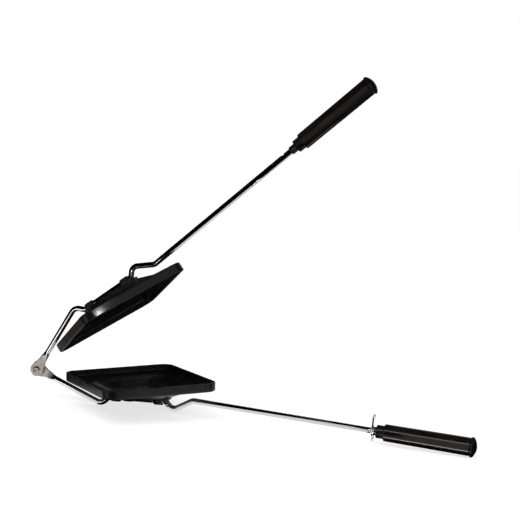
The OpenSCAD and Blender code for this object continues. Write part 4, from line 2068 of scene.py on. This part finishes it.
@dataclass(frozen=True)
class FlatCard:
    """A flat card, whose width lies along the floor."""

    name: str
    middle: tuple[float, float, float]
    size: tuple[float, float]
    radiance: float
    tint: Colour = (1.0, 1.0, 1.0)
    facing: Facing = Facing.FRONT
    roll: float = 0.0
    sampled: bool = False

    def build(self) -> bpy.types.Object:
        """Cuts the card."""
        bm = bmesh.new()
        place = (
            Matrix.Translation(self.middle)
            @ self.facing.turn
            @ Matrix.Rotation(math.radians(self.roll), 4, "Z")
            @ Matrix.Diagonal((*self.size, 1.0, 1.0))
        )
        bmesh.ops.create_grid(bm, x_segments=1, y_segments=1, size=0.5, matrix=place)
        return show_to_gloss(self.name, bm, self.radiance, self.tint, self.sampled)


def plain_material(name: str) -> tuple[bpy.types.Material, Graph]:
    """Starts a material with an empty graph.

    Args:
        name: Name of the material.

    Returns:
        The material and its graph.
    """
    material = bpy.data.materials.new(name)
    material.use_nodes = True
    material.node_tree.nodes.clear()
    return material, Graph(material.node_tree)


def stage_mesh(name: str, bm: bmesh.types.BMesh, material: bpy.types.Material) -> bpy.types.Object:
    """Adds a mesh that belongs to the studio.

    Args:
        name: Name of the object.
        bm: Its mesh, which is used up.
        material: Its material.

    Returns:
        The object.
    """
    mesh = bpy.data.meshes.new(name)
    bm.to_mesh(mesh)
    bm.free()
    made = bpy.data.objects.new(name, mesh)
    made.data.materials.append(material)
    bpy.context.scene.collection.objects.link(made)
    return made


@dataclass(frozen=True)
class Lamp:
    """A square area lamp that looks at the toaster's middle and doesn't show in its gloss."""

    name: str
    elevation: float
    azimuth: float
    reach: float
    size: float
    power: float
    aim: tuple[float, float, float] = (0.0, 0.0, 0.1)

    def build(self) -> bpy.types.Object:
        """Hangs the lamp.

        Returns:
            The lamp.
        """
        data = bpy.data.lights.new(self.name, "AREA")
        data.size = self.size
        data.energy = self.power
        back = outward(math.radians(self.azimuth), math.radians(self.elevation))
        lamp = bpy.data.objects.new(self.name, data)
        lamp.location = self.reach * back + Vector(self.aim)
        lamp.rotation_mode = "QUATERNION"
        lamp.rotation_quaternion = back.to_track_quat("Z", "Y")
        lamp.visible_camera = False
        lamp.visible_glossy = False
        bpy.context.scene.collection.objects.link(lamp)
        return lamp


def outward(azimuth: float, elevation: float) -> Vector:
    """Direction from the toaster to a point in the studio.

    Args:
        azimuth: Its azimuth, measured from -Y towards +X.
        elevation: Its elevation.

    Returns:
        The direction.
    """
    level = math.cos(elevation)
    return Vector((math.sin(azimuth) * level, -math.cos(azimuth) * level, math.sin(elevation)))


@dataclass(frozen=True)
class Studio:
    """The pale floor, the plain light, the cards and the camera.

    The camera's place is given in the lower half's frame: it looks at a target from an
    azimuth and an elevation, and is rolled a little.
    """

    azimuth: float = math.radians(16.4)
    elevation: float = math.radians(5.3)
    roll: float = math.radians(1.0)
    distance: float = 1.3
    target: tuple[float, float, float] = (0.250, 0.0, 0.130)
    focal_pixels: float = 1269.0
    image_width: float = 520.0
    floor_size: float = 30.0
    floor_colour: float = 0.50
    floor_glow: float = 0.70
    diffuse_light: float = 0.60
    tube_radius: float = 1.6
    tube_reach: float = 1.2
    lamps: tuple[Lamp, ...] = (
        Lamp("key", elevation=55, azimuth=-25, reach=1.3, size=0.9, power=6.0),
        Lamp("fill", elevation=25, azimuth=45, reach=1.5, size=0.9, power=2.5),
    )

    def cards(self) -> None:
        """Rolls the black tube that the gloss sees, and sets the bright cards in it."""
        radius, reach = self.tube_radius, self.tube_reach
        inner = 0.95 * radius
        brown, blue, pale = (1.0, 0.86, 0.80), (0.82, 0.92, 1.0), (1.0, 0.97, 0.95)
        warm = (1.0, 0.90, 0.82)
        for card in (
            RoundCard("black_tube", 0, 360, -reach, reach, radius),
            EndCard("end_card_left", -reach, radius),
            EndCard("end_card_right", reach, radius),
            RoundCard("rear_softbox", 140, 165, -0.5, 0.6, inner, 0.6),
            FlatCard("left_card", (-1.18, 0.30, -0.66), (1.0, 0.68), 0.16, warm, Facing.SIDE),
            FlatCard("right_card_low", (0.30, -0.20, 0.01), (0.30, 0.22), 0.35, blue, Facing.SIDE),
            FlatCard("right_card_high", (0.30, -0.25, 0.55), (0.40, 0.40), 0.7, blue, Facing.SIDE),
            FlatCard("floor_card_rear", (-0.2125, 0.0, -0.003), (0.095, 0.16), 0.80, facing=Facing.UP),
            FlatCard("floor_card_front", (0.0175, 0.0, -0.003), (0.225, 0.16), 0.80, facing=Facing.UP),
            FlatCard("floor_card_grip", (0.13, 0.16, -0.003), (0.30, 0.20), 0.80, facing=Facing.UP),
            FlatCard("arm_card", (-0.225, -0.20, 0.0075), (0.09, 0.075), 0.95),
            FlatCard("hinge_card", (-0.64, -0.84, -0.21), (0.30, 0.26), 3.2, warm),
            FlatCard("shank_card", (0.022, -0.101, 0.0127), (0.193, 0.07), 0.75, pale, roll=25.4),
            FlatCard("grip_card", (0.1975, -0.100, -0.0015), (0.085, 0.170), 0.90, brown),
            FlatCard("rod_card", (0.135, -0.100, -0.0495), (0.040, 0.074), 0.90, brown),
            FlatCard("upper_grip_card", (0.073, -0.100, 0.305), (0.115, 0.13), 0.50, brown, roll=43.7),
            FlatCard("line_shade", (0.1625, -0.085, 0.125), (0.175, 0.11), 0.0, facing=Facing.UP),
            FlatCard("grip_line_upper", (0.1775, -0.100, 0.098), (0.125, 0.028), 6.0, pale),
            FlatCard("grip_line_lower", (0.1775, -0.100, -0.107), (0.125, 0.040), 14.0, pale),
            FlatCard("corner_shade", (-0.1171, -0.0867, 0.1286), (0.0056, 0.0048), 0.0),
            FlatCard("corner_light", (-0.1182, -0.0882, 0.1281), (0.004, 0.004), 380.0, sampled=True),
        ):
            card.build()

    def camera(self, placing: Placing) -> bpy.types.Object:
        """Sets the camera at the photograph's viewing angle.

        Args:
            placing: Where the halves lie.

        Returns:
            The camera.
        """
        back = outward(self.azimuth, self.elevation)
        right = Vector((math.cos(self.azimuth), math.sin(self.azimuth), 0.0))
        turned_right = math.cos(self.roll) * right + math.sin(self.roll) * back.cross(right)
        axes = Matrix((turned_right, back.cross(turned_right), back)).transposed().to_4x4()
        place = Matrix.Translation(Vector(self.target) + self.distance * back) @ axes
        data = bpy.data.cameras.new("camera")
        data.sensor_width = 36.0
        data.lens = self.focal_pixels / self.image_width * data.sensor_width
        data.clip_start = 0.05
        data.clip_end = 100.0
        camera = bpy.data.objects.new("camera", data)
        camera.matrix_world = placing.of(Half.LOWER) @ place
        bpy.context.scene.collection.objects.link(camera)
        bpy.context.scene.camera = camera
        return camera

    @staticmethod
    def seen_directly(graph: Graph) -> bpy.types.NodeSocket:
        """Share of the rays that show a backdrop: those of the camera, gloss and glass.

        Args:
            graph: The graph to work in.

        Returns:
            1 for such a ray, otherwise 0.
        """
        rays = graph.add("ShaderNodeLightPath").outputs
        share = graph.math("MAXIMUM", rays["Is Camera Ray"], rays["Is Glossy Ray"])
        return graph.math("MAXIMUM", share, rays["Is Transmission Ray"])

    def world(self) -> None:
        """Fills the world with white that lights the object at a plain level."""
        world = bpy.data.worlds.new("studio")
        bpy.context.scene.world = world
        world.use_nodes = True
        world.node_tree.nodes.clear()
        graph = Graph(world.node_tree)
        strength = graph.remap(self.seen_directly(graph), 0.0, 1.0, self.diffuse_light, 1.0)
        light = graph.add("ShaderNodeBackground", {"Color": (1.0, 1.0, 1.0, 1.0), "Strength": strength})
        graph.add("ShaderNodeOutputWorld", {"Surface": light.outputs[0]})

    def floor(self) -> bpy.types.Object:
        """Lays the pale floor, which keeps the object's shadow.

        Returns:
            The floor.
        """
        bm = bmesh.new()
        bmesh.ops.create_grid(bm, x_segments=1, y_segments=1, size=self.floor_size / 2)
        material, graph = plain_material("pale_floor")
        shade = self.floor_colour
        matt = graph.add("ShaderNodeBsdfDiffuse", {"Color": (shade, shade, shade, 1.0)})
        strength = graph.math("MULTIPLY", self.seen_directly(graph), self.floor_glow)
        glow = graph.add("ShaderNodeEmission", {"Color": (1.0, 1.0, 1.0, 1.0), "Strength": strength})
        both = graph.add("ShaderNodeAddShader", {0: matt.outputs[0], 1: glow.outputs[0]})
        graph.add("ShaderNodeOutputMaterial", {"Surface": both.outputs[0]})
        floor = stage_mesh("floor", bm, material)
        floor.visible_glossy = False
        return floor

    def build(self, placing: Placing) -> None:
        """Sets up the whole studio.

        Args:
            placing: Where the halves lie.
        """
        bpy.context.scene.view_settings.view_transform = "Standard"
        self.camera(placing)
        self.world()
        self.floor()
        self.cards()
        for lamp in self.lamps:
            lamp.build()
        log.info("studio: camera, floor, world, cards and lamps")


def main() -> None:
    """Builds the studio and the toaster, sub-assembly by sub-assembly."""
    logging.basicConfig(level=logging.INFO, format="%(message)s")
    layout = Layout()
    placing = Placing.read(frame["joints"], layout)
    Studio().build(placing)
    finishes = Finishes.build()
    eyes = {Half.LOWER: Eye(middle_y=0.0017, square_cut=True), Half.UPPER: Eye(middle_y=-0.0020, square_cut=False)}
    collars = {Half.LOWER: 0.0024, Half.UPPER: 0.0070}
    for half in Half:
        PanCasting(layout).build(half, placing, finishes.coating)
        BentRod(layout, eyes[half]).build(half, placing, finishes.chrome)
        CrossPins(layout).build(half, placing, finishes.dulled_steel)
        GripSet(layout, collars[half]).build(half, placing, finishes)
    HingeSet().build(placing, finishes.steel)
    LockHook(layout).build(placing, finishes.chrome)


if __name__ == "__main__":
    main()
